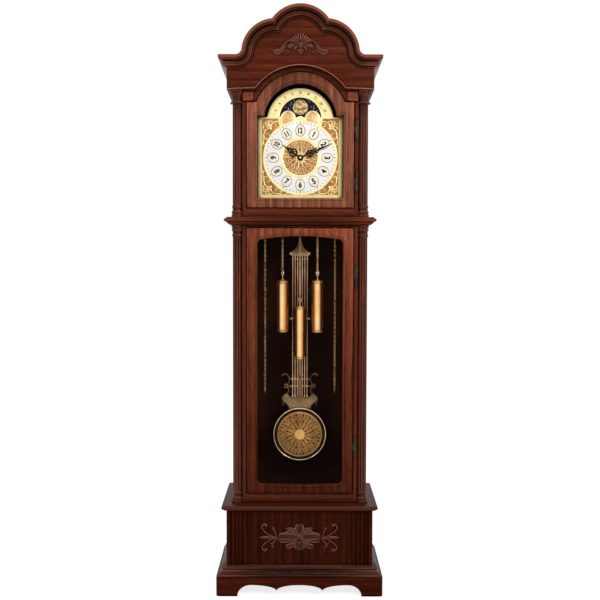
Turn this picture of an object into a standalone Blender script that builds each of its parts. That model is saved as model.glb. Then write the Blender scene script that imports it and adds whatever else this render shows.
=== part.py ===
# Longcase clock with three weights, a moon dial and a lyre pendulum
# Metres, +Z up, the front towards -Y, the origin on the floor under the middle of the case
import math

import bmesh
import bpy
from mathutils import Matrix, Vector
from mathutils.geometry import tessellate_polygon

# Clearance between pieces that touch, and how far a cutter runs past what it cuts
CLEAR = 0.0003
OVERRUN = 0.010

# Widths, over the widest piece of each storey
SKIRT_WIDTH = 0.5575
BASE_WIDTH = 0.4913
TRUNK_WIDTH = 0.454
FRIEZE_WIDTH = 0.4848

# Heights of the storeys, from the floor up
SKIRT_HEIGHT = 0.0626
BASE_HEIGHT = 0.2204
LEDGE_HEIGHT = 0.0184
TRUNK_HEIGHT = 0.9386
WAIST_HEIGHT = 0.0253
HOOD_HEIGHT = 0.4163
FRIEZE_HEIGHT = 0.1073

# Depths, each step measured back from the one before it
DEPTH = 0.300
BOX_SETBACK = 0.028
FRAME_SETBACK = 0.022
DOOR_PROUD = 0.005

# Boards
FRAME_THICKNESS = 0.015
SIDE_THICKNESS = 0.014
SIDE_INSET = 0.0065
BACK_THICKNESS = 0.008

# Corner columns and door openings
COLUMN_WIDTH = 0.033
COLUMN_ROOM = 0.001
STILE_WIDTH = 0.01225
DOOR_GAP = 0.003

# Mouldings, by how far each stands out beyond what it wraps
PLINTH_SIDE_OUT = 0.0281
PLINTH_FRONT_OUT = 0.023
LEDGE_SIDE_OUT = 0.0151
LEDGE_FRONT_OUT = 0.018
WAIST_SIDE_OUT = 0.0249
WAIST_FRONT_OUT = 0.0235
CROWN_SIDE_OUT = 0.0261
CROWN_FRONT_OUT = 0.028

# Dial and movement
DIAL_HALF = 0.1415
DIAL_RISE = 0.3197
DIAL_ARCH_RADIUS = 0.1115
DIAL_SETBACK = 0.025
HANDS_DROP = 0.1193
SEAT_RISE = 0.0597
SEAT_THICKNESS = 0.018

# Chains, weights and pendulum
SPROCKET_RADIUS = 0.030
CHAIN_SPREAD = 0.060
CHAIN_PLANE = 0.045
MIDDLE_CHAIN_PLANE = 0.073
PENDULUM_PLANE = 0.135
BOB_RADIUS = 0.096
BOB_ROOM = 0.105337

# Levels and planes that follow
BACK = DEPTH / 2
FRONT = -DEPTH / 2
BOX_FRONT = FRONT + BOX_SETBACK
FRAME_FRONT = BOX_FRONT + FRAME_SETBACK
FRAME_BACK = FRAME_FRONT + FRAME_THICKNESS
DOOR_FRONT = FRAME_FRONT - DOOR_PROUD
DIAL_FRONT = FRAME_FRONT + DIAL_SETBACK
BOARD_BACK = BACK - BACK_THICKNESS
Z_SKIRT = SKIRT_HEIGHT
Z_BASE = Z_SKIRT + BASE_HEIGHT
Z_LEDGE = Z_BASE + LEDGE_HEIGHT
Z_TRUNK = Z_LEDGE + TRUNK_HEIGHT
Z_WAIST = Z_TRUNK + WAIST_HEIGHT
Z_FRIEZE = Z_WAIST + HOOD_HEIGHT
Z_CROWN = Z_FRIEZE + FRIEZE_HEIGHT
Z_ARCH = Z_WAIST + DIAL_RISE
Z_HANDS = Z_ARCH - HANDS_DROP
Z_SEAT = Z_WAIST + SEAT_RISE

BASE_HALF = BASE_WIDTH / 2
TRUNK_HALF = TRUNK_WIDTH / 2
FRIEZE_HALF = FRIEZE_WIDTH / 2
COLUMN_RADIUS = COLUMN_WIDTH / 2
COLUMN_X = TRUNK_HALF - COLUMN_RADIUS
COLUMN_Y = DOOR_FRONT + COLUMN_RADIUS
RECESS_X = COLUMN_X - COLUMN_RADIUS - COLUMN_ROOM
RECESS_Y = COLUMN_Y + COLUMN_RADIUS + COLUMN_ROOM
SIDE_OUT = TRUNK_HALF - SIDE_INSET
SIDE_IN = SIDE_OUT - SIDE_THICKNESS
OPENING_HALF = RECESS_X - STILE_WIDTH
DOOR_HALF = OPENING_HALF - DOOR_GAP

# Finishes: colour, metallic, roughness
finishes = {
    "case_wood": ((0.072, 0.024, 0.015), 0.0, 0.36),
    "door_wood": ((0.098, 0.034, 0.022), 0.0, 0.34),
    "inner_wood": ((0.046, 0.017, 0.011), 0.0, 0.55),
    "brass": ((0.78, 0.53, 0.20), 1.0, 0.25),
    "gold": ((0.83, 0.62, 0.28), 1.0, 0.33),
    "silver": ((0.86, 0.84, 0.78), 0.3, 0.45),
    "steel": ((0.55, 0.55, 0.56), 1.0, 0.35),
    "black": ((0.010, 0.010, 0.012), 0.0, 0.30),
    "moon": ((0.10, 0.22, 0.45), 0.0, 0.40),
    "glass": ((0.90, 0.93, 0.94), 0.0, 0.05),
}


# Scene and object helpers
def clear_scene():
    for obj in list(bpy.data.objects):
        bpy.data.objects.remove(obj, do_unlink=True)


def finish_material(name, finish):
    colour, metallic, roughness = finishes[finish]
    material = bpy.data.materials.new(name)
    material.use_nodes = True
    shader = material.node_tree.nodes["Principled BSDF"]
    shader.inputs["Base Color"].default_value = (*colour, 1)
    shader.inputs["Metallic"].default_value = metallic
    shader.inputs["Roughness"].default_value = roughness
    return material


def node(name, mesh, finish, at=(0, 0, 0), round_piece=False):
    """One named piece with its own material, its origin at the given place."""
    obj = bpy.data.objects.new(name, mesh)
    bpy.context.scene.collection.objects.link(obj)
    obj.location = at
    if not obj.data.materials:
        obj.data.materials.append(finish_material(name, finish))
    if round_piece:
        mesh.shade_smooth()
        mesh.set_sharp_from_angle(angle=math.radians(40))
    return obj


def mesh_of(bm, name="mesh"):
    bmesh.ops.recalc_face_normals(bm, faces=bm.faces)
    mesh = bpy.data.meshes.new(name)
    bm.to_mesh(mesh)
    bm.free()
    return mesh


def combined(first, others, operation="UNION"):
    """The first mesh joined with the others, or cut by them."""
    base = bpy.data.objects.new("work", first)
    bpy.context.scene.collection.objects.link(base)
    helpers = []
    for mesh in others:
        helper = bpy.data.objects.new("helper", mesh)
        bpy.context.scene.collection.objects.link(helper)
        step = base.modifiers.new("combine", "BOOLEAN")
        step.operation = operation
        step.solver = "EXACT"
        step.object = helper
        helpers.append(helper)
    graph = bpy.context.evaluated_depsgraph_get()
    result = bpy.data.meshes.new_from_object(base.evaluated_get(graph))
    for obj in [base, *helpers]:
        bpy.data.objects.remove(obj)
    return result


# Outlines
def circle(radius, count, centre=(0, 0), turn=0.0):
    return [
        (
            centre[0] + radius * math.cos(turn + math.tau * i / count),
            centre[1] + radius * math.sin(turn + math.tau * i / count),
        )
        for i in range(count)
    ]


def arc(centre, radius, start, end, count):
    """Points along an arc, both ends included, angles in radians."""
    step = (end - start) / (count - 1)
    return [
        (
            centre[0] + radius * math.cos(start + step * i),
            centre[1] + radius * math.sin(start + step * i),
        )
        for i in range(count)
    ]


def mirrored(points):
    """An outline closed by its own mirror image across the first axis's zero."""
    other = [(-x, z) for x, z in reversed(points) if abs(x) > 1e-9]
    return list(points) + other


def rectangle(left, right, low, high):
    return [(left, low), (right, low), (right, high), (left, high)]


# Where a tooth's flanks meet the root circle, as shares of the pitch from its middle
half_pitch = 0.5
foot_share = 0.30


def gear(teeth, module, add_share, root_share, turn=0.0, tip_share=0.0):
    """A toothed outline. A tip share above zero gives each tooth a flat top."""
    pitch = math.tau / teeth
    radius = teeth * module / 2
    tip = radius + module * add_share
    root = radius - module * root_share
    marks = [(0, tip), (half_pitch, root)]
    if tip_share:
        marks = [(-foot_share, root), (-tip_share, tip), (tip_share, tip), (foot_share, root)]
    points = []
    for i in range(teeth):
        middle = turn + pitch * i
        for share, r in marks:
            a = middle + pitch * share
            points.append((r * math.cos(a), r * math.sin(a)))
    return points


# Solids from outlines
def inside(point, outline):
    """Whether a point lies in an outline, by the crossings to its right."""
    x, z = point
    hit = False
    for (x0, z0), (x1, z1) in zip(outline, outline[1:] + outline[:1]):
        if (z0 > z) != (z1 > z) and x < x0 + (x1 - x0) * (z - z0) / (z1 - z0):
            hit = not hit
    return hit


def fill(bm, loops):
    """Faces between nested loops, each loop given as its outline and its vertices."""
    depth = []
    for outline, _ in loops:
        depth.append(sum(inside(outline[0], other) for other, _ in loops if other is not outline))
    for i, (outer, ring) in enumerate(loops):
        if depth[i] % 2:
            continue
        group = [(outer, ring)]
        for j, (inner, inner_ring) in enumerate(loops):
            if depth[j] == depth[i] + 1 and inside(inner[0], outer):
                group.append((inner, inner_ring))
        reach = max(abs(c) for p in outer for c in p)
        flat = [[Vector((x / reach, z / reach, 0)) for x, z in outline] for outline, _ in group]
        verts = [v for _, ring_verts in group for v in ring_verts]
        faces = [bm.faces.new([verts[k] for k in triple]) for triple in tessellate_polygon(flat)]
        made = set(faces)
        inner = {e for f in faces for e in f.edges if all(other in made for other in e.link_faces)}
        inner = [e for e in inner if len(e.link_faces) == 2]
        bmesh.ops.beautify_fill(bm, faces=faces, edges=inner)


def stack(sections, axis="Y"):
    """One closed body of sections along an axis. Each is (start, end, outlines), and an outline
    inside another is a hole. A pair of outlines with as many points each makes a taper."""
    bm = bmesh.new()
    places = {
        "X": lambda p, at: (at, p[0], p[1]),
        "Y": lambda p, at: (p[0], at, p[1]),
        "Z": lambda p, at: (p[0], p[1], at),
    }
    place = places[axis]
    live = []
    for start, end, outlines in sections:
        rings = []
        fresh = []
        for item in outlines:
            first, last = item if isinstance(item, tuple) else (item, item)
            ring = next((r for outline, r in live if outline is first), None)
            if ring is None:
                ring = [bm.verts.new(place(p, start)) for p in first]
                fresh.append((first, ring))
            rings.append((first, last, ring))
        kept = [first for first, _, _ in rings]
        ended = [(outline, ring) for outline, ring in live if not any(outline is k for k in kept)]
        fill(bm, ended + fresh)
        live = []
        for _, last, ring in rings:
            far = [bm.verts.new(place(p, end)) for p in last]
            join_rings(bm, ring, far)
            live.append((last, far))
    fill(bm, live)
    return mesh_of(bm)


def join_rings(bm, ring, far):
    count = len(ring)
    for i in range(count):
        j = (i + 1) % count
        bm.faces.new((ring[i], ring[j], far[j], far[i]))


def prism(outline, start, end, axis="Y", holes=()):
    return stack([(start, end, [outline, *holes])], axis)


def box(left, right, near, far, low, high):
    return prism(rectangle(left, right, low, high), near, far)


def loft(rings):
    """One closed body through rings of points, with a flat face on each end."""
    bm = bmesh.new()
    made = [[bm.verts.new(p) for p in ring] for ring in rings]
    for ring, far in zip(made, made[1:]):
        join_rings(bm, ring, far)
    bm.faces.new(made[0])
    bm.faces.new(made[-1])
    return mesh_of(bm)


def turned(profile, count, axis="Z", turn=0.0):
    """A turned body. The profile holds (radius, place along the axis)."""
    rings = []
    for radius, at in profile:
        points = circle(radius, count, turn=turn)
        if axis == "Z":
            rings.append([(x, y, at) for x, y in points])
        else:
            rings.append([(x, at, z) for x, z in points])
    return loft(rings)


def wrapped(profile, half, front, side_out, front_out, back, inner_x=None, inner_y=None):
    """A moulding round both sides and the front, mitred at the corners. The profile holds
    (share of the way out, height). Its back edge lies at the inner lines."""
    inner_x = half if inner_x is None else inner_x
    inner_y = front if inner_y is None else inner_y
    rings = []
    for side, at_back in ((-1, True), (-1, False), (1, False), (1, True)):
        ring = []
        for share, z in profile:
            y = back if at_back else front - front_out * share
            ring.append((side * (half + side_out * share), y, z))
        for z in (profile[-1][1], profile[0][1]):
            ring.append((side * inner_x, back if at_back else inner_y, z))
        rings.append(ring)
    return loft(rings)


def moved(mesh, offset):
    mesh.transform(Matrix.Translation(offset))
    return mesh


def hinged(name, mesh, finish, pivot, round_piece=False):
    """A piece modelled in place whose origin is put on its joint's axis."""
    moved(mesh, -Vector(pivot))
    return node(name, mesh, finish, pivot, round_piece)


def carrier(name, at, pieces):
    """An empty on a joint's axis that carries the pieces turning or sliding there."""
    empty = bpy.data.objects.new(name, None)
    bpy.context.scene.collection.objects.link(empty)
    empty.location = at
    for piece in pieces:
        piece.location = piece.location - Vector(at)
        piece.parent = empty
    return empty


# Plinth and base box
plinth = {
    "wall": 0.016,
    "corner": 0.012,
    "foot": 0.0713,
    "side_foot": 0.062,
    "arch_rise": 0.0385,
    "cusp_rise": 0.0190,
    "moulding_rise": 0.0334,
    "floor_thickness": 0.0163,
    # How far out and how far up the plinth moulding's profile goes
    "profile_shares": [
        (0.92, 0.00), (1.00, 0.05), (1.00, 0.20), (0.92, 0.26), (0.80, 0.28),
        (0.76, 0.42), (0.62, 0.58), (0.44, 0.68), (0.40, 0.74), (0.34, 0.86), (0.10, 1.00),
    ],
}


def skirt_plan():
    half = SKIRT_WIDTH / 2
    r = plinth["corner"]
    inner = half - plinth["wall"]
    outline = [(half, BACK)]
    outline += arc((half - r, FRONT + r), r, 0, -math.pi / 2, 4)
    outline += arc((r - half, FRONT + r), r, -math.pi / 2, -math.pi, 4)
    outline += [(-half, BACK), (-inner, BACK)]
    outline += [(-inner, FRONT + plinth["wall"]), (inner, FRONT + plinth["wall"]), (inner, BACK)]
    return outline


def skirt_scallops():
    """The three arches cut from the lower edge, as one outline that runs past it."""
    end = SKIRT_WIDTH / 2 - plinth["foot"]
    rise = plinth["arch_rise"]
    cusp = plinth["cusp_rise"]
    cusp_x_share = 0.37
    side_apex_share = 0.78
    cusp_x = end * cusp_x_share
    apex = end * side_apex_share
    half = [(end, -OVERRUN), (end, 0)]
    half += quarter((end, 0), (apex, rise), 5)[1:]
    half += quarter((cusp_x, cusp), (apex, rise), 4)[::-1][1:]
    half += quarter((cusp_x, cusp), (0, rise), 4)[1:]
    return mirrored(half)


def quarter(foot, top, count):
    """A quarter of an ellipse that leaves its foot upright and reaches its top level."""
    points = []
    for i in range(count):
        a = math.pi / 2 * i / (count - 1)
        x = top[0] + (foot[0] - top[0]) * math.cos(a)
        points.append((x, foot[1] + (top[1] - foot[1]) * math.sin(a)))
    return points


def skirt_side_arch():
    """The long low arch cut from each side, in depth and height."""
    near = FRONT + plinth["side_foot"]
    far = BACK - plinth["side_foot"]
    r = plinth["cusp_rise"]
    points = [(near, -OVERRUN), (far, -OVERRUN), (far, 0)]
    points += quarter((far, 0), (far - r, r), 4)[1:]
    points += quarter((near, 0), (near + r, r), 4)[::-1]
    return points


def build_plinth():
    half = SKIRT_WIDTH / 2
    body = prism(skirt_plan(), 0, SKIRT_HEIGHT, "Z")
    front_cut = prism(skirt_scallops(), FRONT - OVERRUN, FRONT + plinth["wall"] + OVERRUN)
    side_cut = prism(skirt_side_arch(), -half - OVERRUN, half + OVERRUN, "X")
    node("plinth_skirt", combined(body, [front_cut, side_cut], "DIFFERENCE"), "case_wood")
    low = Z_SKIRT + CLEAR
    profile = [(share, low + plinth["moulding_rise"] * up) for share, up in plinth["profile_shares"]]
    mesh = wrapped(
        profile, BASE_HALF + CLEAR, BOX_FRONT - CLEAR, PLINTH_SIDE_OUT, PLINTH_FRONT_OUT, BACK
    )
    node("plinth_moulding", mesh, "case_wood")
    inner = half - plinth["wall"] - CLEAR
    floor = box(
        -inner, inner, FRONT + plinth["wall"] + CLEAR, BACK, Z_SKIRT - plinth["floor_thickness"], Z_SKIRT
    )
    node("base_floor", floor, "inner_wood")


base = {
    "front_thickness": 0.016,
    "stile_width": 0.0697,
    "flutes": 4,
    "flute_width": 0.0052,
    "flute_pitch": 0.0128,
    "flute_depth": 0.0024,
    "flute_margin": 0.0155,
    "groove_width": 0.003,
    "groove_depth": 0.002,
    "carving_half": 0.134,
    "carving_rise": 0.1320,
    "carving_reach": 0.0435,
    "carving_relief": 0.007,
    "carving_edge": 0.0016,
    # The carving's right half, from the top of its middle round to the bottom
    "carving_shares": [
        (0.00, 1.00), (0.10, 0.96), (0.14, 0.72), (0.30, 0.86), (0.44, 0.78), (0.36, 0.46),
        (0.52, 0.34), (0.62, 0.52), (0.70, 0.86), (0.84, 1.00), (0.94, 0.86), (0.88, 0.56),
        (0.78, 0.62), (0.74, 0.34), (0.86, 0.18), (1.00, 0.00), (0.86, -0.20), (0.74, -0.36),
        (0.80, -0.62), (0.92, -0.70), (0.96, -0.94), (0.84, -1.00), (0.70, -0.84), (0.62, -0.56),
        (0.52, -0.36), (0.38, -0.46), (0.42, -0.80), (0.28, -0.92), (0.14, -0.78), (0.10, -1.02),
        (0.00, -1.08),
    ],
}


def fluted_edge(front):
    """The front line of the base board from its middle to its right edge."""
    grooves = [(BASE_HALF - base["stile_width"], base["groove_width"], base["groove_depth"])]
    for i in reversed(range(base["flutes"])):
        middle = BASE_HALF - base["flute_margin"] - base["flute_pitch"] * i
        grooves.append((middle, base["flute_width"], base["flute_depth"]))
    points = []
    for middle, width, depth in grooves:
        lip_share = 0.22
        lip = width * lip_share
        points += [
            (middle - width / 2, front),
            (middle - lip, front + depth),
            (middle + lip, front + depth),
            (middle + width / 2, front),
        ]
    return points + [(BASE_HALF, front)]


def relief(outline, front, depth, edge):
    """A carved onlay: an outline whose front is drawn in a little all round."""
    count = len(outline)
    drawn = []
    for i, (x, z) in enumerate(outline):
        before = Vector(outline[i - 1])
        after = Vector(outline[(i + 1) % count])
        here = Vector((x, z))
        a = (here - before).normalized()
        b = (after - here).normalized()
        inward = Vector((-a.y - b.y, a.x + b.x))
        inward = inward.normalized() if inward.length > 1e-6 else Vector((0, 0))
        drawn.append(tuple(here + inward * edge))
    turn = sum(x0 * z1 - x1 * z0 for (x0, z0), (x1, z1) in zip(outline, outline[1:] + outline[:1]))
    if turn < 0:
        drawn = [(2 * x - dx, 2 * z - dz) for (x, z), (dx, dz) in zip(outline, drawn)]
    knee_share = 0.35
    knee = front + depth * knee_share
    return stack([(front, knee, [(drawn, outline)]), (knee, front + depth, [outline])])


def build_base():
    low = Z_SKIRT + CLEAR
    behind = BOX_FRONT + base["front_thickness"]
    half = fluted_edge(BOX_FRONT) + [(BASE_HALF, behind)]
    plan = half + [(-x, y) for x, y in reversed(half)]
    node("base_front", prism(plan, low, Z_BASE, "Z"), "case_wood")
    for side, name in ((-1, "base_side_left"), (1, "base_side_right")):
        inner = BASE_HALF - SIDE_THICKNESS
        left, right = sorted((side * inner, side * BASE_HALF))
        node(name, box(left, right, behind + CLEAR, BACK, low, Z_BASE), "case_wood")
    middle = Z_SKIRT + base["carving_rise"]
    outline = mirrored(
        [
            (base["carving_half"] * x, middle + base["carving_reach"] * z)
            for x, z in base["carving_shares"]
        ]
    )
    front = BOX_FRONT - CLEAR - base["carving_relief"]
    node(
        "base_carving",
        relief(outline, front, base["carving_relief"], base["carving_edge"]),
        "case_wood",
    )


ledge = {
    # How far out and how far up each edge of the ledge goes
    "profile_shares": [
        (0.35, 0.00), (0.55, 0.12), (0.92, 0.24), (1.00, 0.40), (1.00, 0.80), (0.80, 1.00),
    ],
}


def build_ledge():
    low = Z_BASE + CLEAR
    height = Z_LEDGE - low
    back = BOARD_BACK - CLEAR
    rings = []
    for out, up in ledge["profile_shares"]:
        x = BASE_HALF + LEDGE_SIDE_OUT * out
        y = BOX_FRONT - LEDGE_FRONT_OUT * out
        z = low + height * up
        rings.append([(-x, y, z), (x, y, z), (x, back, z), (-x, back, z)])
    node("base_top_moulding", loft(rings), "case_wood")


# Boards of the trunk and hood
board = {
    "return_width": 0.012,
    "cheek_width": 0.016,
    "roof_drop": 0.019,
    "roof_thickness": 0.012,
}
Z_ROOF = Z_CROWN - board["roof_drop"]


def side_plan(side):
    """A side board with the inner corner that the column stands in."""
    near = FRAME_BACK + CLEAR
    inner = RECESS_X - board["return_width"]
    deep = RECESS_Y + SIDE_THICKNESS
    plan = [
        (SIDE_OUT, BACK), (SIDE_IN, BACK), (SIDE_IN, deep), (inner, deep),
        (inner, near), (RECESS_X, near), (RECESS_X, RECESS_Y), (SIDE_OUT, RECESS_Y),
    ]
    return [(side * x, y) for x, y in plan]


def build_boards():
    for side, hand in ((-1, "left"), (1, "right")):
        plan = side_plan(side)
        trunk = prism(plan, Z_LEDGE + CLEAR, Z_TRUNK, "Z")
        node("trunk_side_" + hand, trunk, "case_wood")
        hood = prism(plan, Z_WAIST + CLEAR, Z_ROOF, "Z")
        node("hood_side_" + hand, hood, "case_wood")
    low_half = BASE_HALF - SIDE_THICKNESS - CLEAR
    half = SIDE_IN - CLEAR
    outline = mirrored(
        [(low_half, Z_SKIRT + CLEAR), (low_half, Z_BASE), (half, Z_BASE), (half, Z_ROOF)]
    )
    node("back_board", prism(outline, BOARD_BACK, BACK), "inner_wood")
    roof = box(
        -SIDE_OUT, SIDE_OUT, FRAME_FRONT, BACK, Z_ROOF + CLEAR, Z_ROOF + board["roof_thickness"]
    )
    node("hood_top_board", roof, "inner_wood")


# Doors and the frames that they close
trunk_door = {
    "sill": 0.0351,
    "head": 0.0112,
    "stile": 0.03425,
    "low_rail": 0.0424,
    "high_rail": 0.0412,
    "rise": 0.0150,
    "corner": 0.008,
}
hood_door = {
    "sill": 0.0321,
    "shoulder": 0.0596,
    "arch_radius": 0.158,
    "cove": 0.010,
    "low_rail": 0.0314,
    "sight_room": 0.001,
    "arch_room": 0.0101,
    "ear": 0.0154,
    "corner": 0.007,
}
door = {
    "edge": 0.0015,
    "rebate": 0.006,
    "glass_thickness": 0.003,
    "bead_depth": 0.001,
}
TRUNK_DOOR_LOW = Z_LEDGE + trunk_door["sill"]
TRUNK_DOOR_HIGH = Z_TRUNK - trunk_door["head"]
HOOD_DOOR_LOW = Z_WAIST + hood_door["sill"]


def shallow_arch(half, side_z, rise, corner, up):
    """One rounded corner and half of a shallow arch, from the side to the middle."""
    points = arc((half - corner, side_z - up * corner), corner, 0, up * math.pi / 2, 3)
    flat = half - corner
    for i in (1, 2, 3):
        x = flat * (3 - i) / 3
        points.append((x, side_z + up * rise * (1 - (x / flat) ** 2)))
    return points


def trunk_sight(grow):
    """The trunk door's glass opening, arched a little above and below."""
    half = DOOR_HALF - trunk_door["stile"] + grow
    low = TRUNK_DOOR_LOW + trunk_door["low_rail"] - grow
    high = TRUNK_DOOR_HIGH - trunk_door["high_rail"] + grow
    lower = shallow_arch(half, low, trunk_door["rise"], trunk_door["corner"], -1)
    upper = shallow_arch(half, high, trunk_door["rise"], trunk_door["corner"], 1)
    return mirrored(lower[::-1] + upper)


def arched(half, low, shoulder, radius, cove, count=10):
    """A door's outline: square below, coved at the shoulders, round above."""
    cove_z = Z_ARCH + hood_door["shoulder"] + hood_door["cove"]
    arch_x = math.sqrt(radius**2 - (cove_z - Z_ARCH) ** 2)
    points = [(half, low), (half, shoulder)]
    points += arc((arch_x + cove, cove_z), cove, -math.pi / 2, -math.pi, 4)
    start = math.asin((cove_z - Z_ARCH) / radius)
    points += arc((0, Z_ARCH), radius, start, math.pi / 2, count)[1:]
    points[-1] = (0, Z_ARCH + radius)
    return mirrored(points)


def hood_door_edge(grow):
    shoulder = Z_ARCH + hood_door["shoulder"] + grow
    radius = hood_door["arch_radius"] + grow
    return arched(DOOR_HALF + grow, HOOD_DOOR_LOW - grow, shoulder, radius, hood_door["cove"] - grow)


def hood_sight(grow):
    """The hood door's glass opening, which follows the dial plate."""
    half = DIAL_HALF + hood_door["sight_room"] + grow
    low = HOOD_DOOR_LOW + hood_door["low_rail"] - grow
    radius = DIAL_ARCH_RADIUS + hood_door["arch_room"] + grow
    ear = hood_door["ear"] + grow
    corner = hood_door["corner"]
    points = arc((half - corner, low + corner), corner, -math.pi / 2, 0, 3)
    points.append((half, Z_ARCH + ear))
    points += arc((0, Z_ARCH), radius, math.asin(ear / radius), math.pi / 2, 9)
    points[-1] = (0, Z_ARCH + radius)
    return mirrored(points)


def build_door(name, outline_of, sight_of):
    """A door frame with an eased front edge, rebated behind for its glass."""
    full = outline_of(0)
    step = FRAME_BACK - door["bead_depth"] - door["glass_thickness"] - CLEAR
    sight = sight_of(0)
    sections = [
        (DOOR_FRONT, DOOR_FRONT + door["edge"], [(outline_of(-door["edge"]), full), sight]),
        (DOOR_FRONT + door["edge"], step, [full, sight]),
        (step, FRAME_BACK, [full, sight_of(door["rebate"])]),
    ]
    pane = sight_of(door["rebate"] - CLEAR)
    glass = prism(pane, step + CLEAR, step + CLEAR + door["glass_thickness"])
    pivot = (HINGE_X, HINGE_Y, 0)
    return [
        hinged(name + "_door_frame", stack(sections), "door_wood", pivot),
        hinged(name + "_door_glass", glass, "glass", pivot),
    ]


def trunk_door_edge(grow):
    return rectangle(-DOOR_HALF - grow, DOOR_HALF + grow, TRUNK_DOOR_LOW - grow, TRUNK_DOOR_HIGH + grow)


head_block = {
    "room": 0.0037,
    "side_gap": 0.0025,
    "proud": 0.0075,
    "corner_share": 0.30,
}


def block_outline():
    """A block between the door's shoulder and the frieze, its lower inner corner rounded."""
    shoulder = hood_door["shoulder"] + hood_door["cove"]
    left = math.sqrt(hood_door["arch_radius"] ** 2 - shoulder**2) + hood_door["cove"] + head_block["room"]
    right = RECESS_X - head_block["side_gap"]
    low = Z_ARCH + hood_door["shoulder"] + DOOR_GAP
    high = Z_FRIEZE - CLEAR
    r = (high - low) * head_block["corner_share"]
    corner = arc((left + r, low + r), r, math.pi, math.pi * 1.5, 4)
    return corner + [(right, low), (right, high), (left, high)]


def build_face_frames():
    outer = rectangle(-RECESS_X, RECESS_X, Z_LEDGE + CLEAR, Z_TRUNK)
    trunk = prism(outer, FRAME_FRONT, FRAME_BACK, "Y", [trunk_door_edge(DOOR_GAP)])
    node("trunk_face_frame", trunk, "case_wood")
    outer = rectangle(-RECESS_X, RECESS_X, Z_WAIST + CLEAR, Z_ROOF)
    hood = prism(outer, FRAME_FRONT, FRAME_BACK, "Y", [hood_door_edge(DOOR_GAP)])
    right = block_outline()
    far = FRAME_FRONT + FRAME_THICKNESS / 2
    blocks = [
        prism(outline, FRAME_FRONT - head_block["proud"], far)
        for outline in (right, [(-x, z) for x, z in right])
    ]
    node("hood_face_frame", combined(hood, blocks), "case_wood")


# Hinges: the case leaf carries two knuckles and the pin, the door leaf the knuckle between them
hinge = {
    "offset": 0.00825,
    "proud": 0.0045,
    "knuckle_radius": 0.0036,
    "pin_radius": 0.0012,
    "leaf": 0.0010,
    "length": 0.0720,
    "hood_upper_drop": 0.0306,
    "hood_lower_rise": 0.1173,
    "trunk_upper_drop": 0.1735,
    "trunk_lower_rise": 0.1920,
    "knuckle_share": 0.30,
    "sides": 8,
}
HINGE_X = DOOR_HALF + hinge["offset"]
HINGE_Y = FRAME_FRONT - hinge["proud"]
hinge_levels = {
    "hood_hinge_upper": Z_ARCH - hinge["hood_upper_drop"],
    "hood_hinge_lower": Z_WAIST + hinge["hood_lower_rise"],
    "trunk_hinge_upper": Z_TRUNK - hinge["trunk_upper_drop"],
    "trunk_hinge_lower": Z_LEDGE + hinge["trunk_lower_rise"],
}


def leaf_knuckle(low, high):
    """A bored knuckle between two heights."""
    outer = circle(hinge["knuckle_radius"], hinge["sides"])
    bore = circle(hinge["pin_radius"] + CLEAR, hinge["sides"])
    return prism(outer, low, high, "Z", [bore])


def case_leaf_mesh():
    half = hinge["length"] / 2
    share = hinge["knuckle_share"]
    inner = half * share
    near = hinge["proud"] - CLEAR - hinge["leaf"]
    reach = RECESS_X - HINGE_X
    plate = prism(
        [(0, near), (reach, near), (reach, near + hinge["leaf"]), (0, near + hinge["leaf"])],
        -half, half, "Z",
    )
    gap = hinge["knuckle_radius"] + CLEAR
    clearing = prism(rectangle(-gap, gap, 0, hinge["proud"] + OVERRUN), -inner, inner, "Z")
    plate = combined(plate, [clearing], "DIFFERENCE")
    outer = circle(hinge["knuckle_radius"], hinge["sides"])
    pin = circle(hinge["pin_radius"], hinge["sides"])
    barrel = stack([(-half, -inner, [outer]), (-inner, inner, [pin]), (inner, half, [outer])], "Z")
    return combined(plate, [barrel])


def door_leaf_mesh():
    """The middle knuckle, a strap across the stile's edge and the leaf in the gap."""
    half = hinge["length"] / 2
    inner = half * hinge["knuckle_share"] - CLEAR
    near = hinge["proud"] - CLEAR - hinge["leaf"]
    left = -hinge["offset"] + CLEAR
    bore = hinge["pin_radius"] + CLEAR
    strap = prism(
        [
            (-bore, -hinge["knuckle_radius"] + hinge["leaf"]), (-bore, near + hinge["leaf"]),
            (left + hinge["leaf"], near + hinge["leaf"]),
            (left + hinge["leaf"], hinge["proud"] + FRAME_THICKNESS),
            (left, hinge["proud"] + FRAME_THICKNESS), (left, near),
            (-hinge["knuckle_radius"], near - hinge["leaf"]),
        ],
        -inner, inner, "Z",
    )
    return combined(leaf_knuckle(-inner, inner), [strap])


def build_hinges():
    case_leaf = case_leaf_mesh()
    door_leaf = door_leaf_mesh()
    leaves = {"hood": [], "trunk": []}
    for name, level in hinge_levels.items():
        at = (HINGE_X, HINGE_Y, level)
        node(name + "_case_leaf", case_leaf, "brass", at, True)
        leaves[name.split("_")[0]].append(node(name + "_door_leaf", door_leaf, "brass", at, True))
    return leaves


# Corner columns
column = {
    "reeds": 7,
    "reed_depth_share": 0.11,
    "waist_share": 0.93,
    # Radius as a share of the column's, and height above the foot or below the top
    "foot_shares": [(1.18, 0.000), (1.18, 0.22), (1.02, 0.27), (1.14, 0.45), (0.98, 0.60)],
    "cap_shares": [
        (1.40, 0.96), (1.40, 0.88), (1.04, 0.80), (1.06, 0.55), (1.42, 0.22), (1.80, 0.00)
    ],
    "plain_cap_shares": [
        (0.98, 0.60), (1.14, 0.45), (1.02, 0.27), (1.18, 0.22), (1.18, 0.00)
    ],
    "foot_height": 0.0420,
    "cap_height": 0.0420,
}


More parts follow.
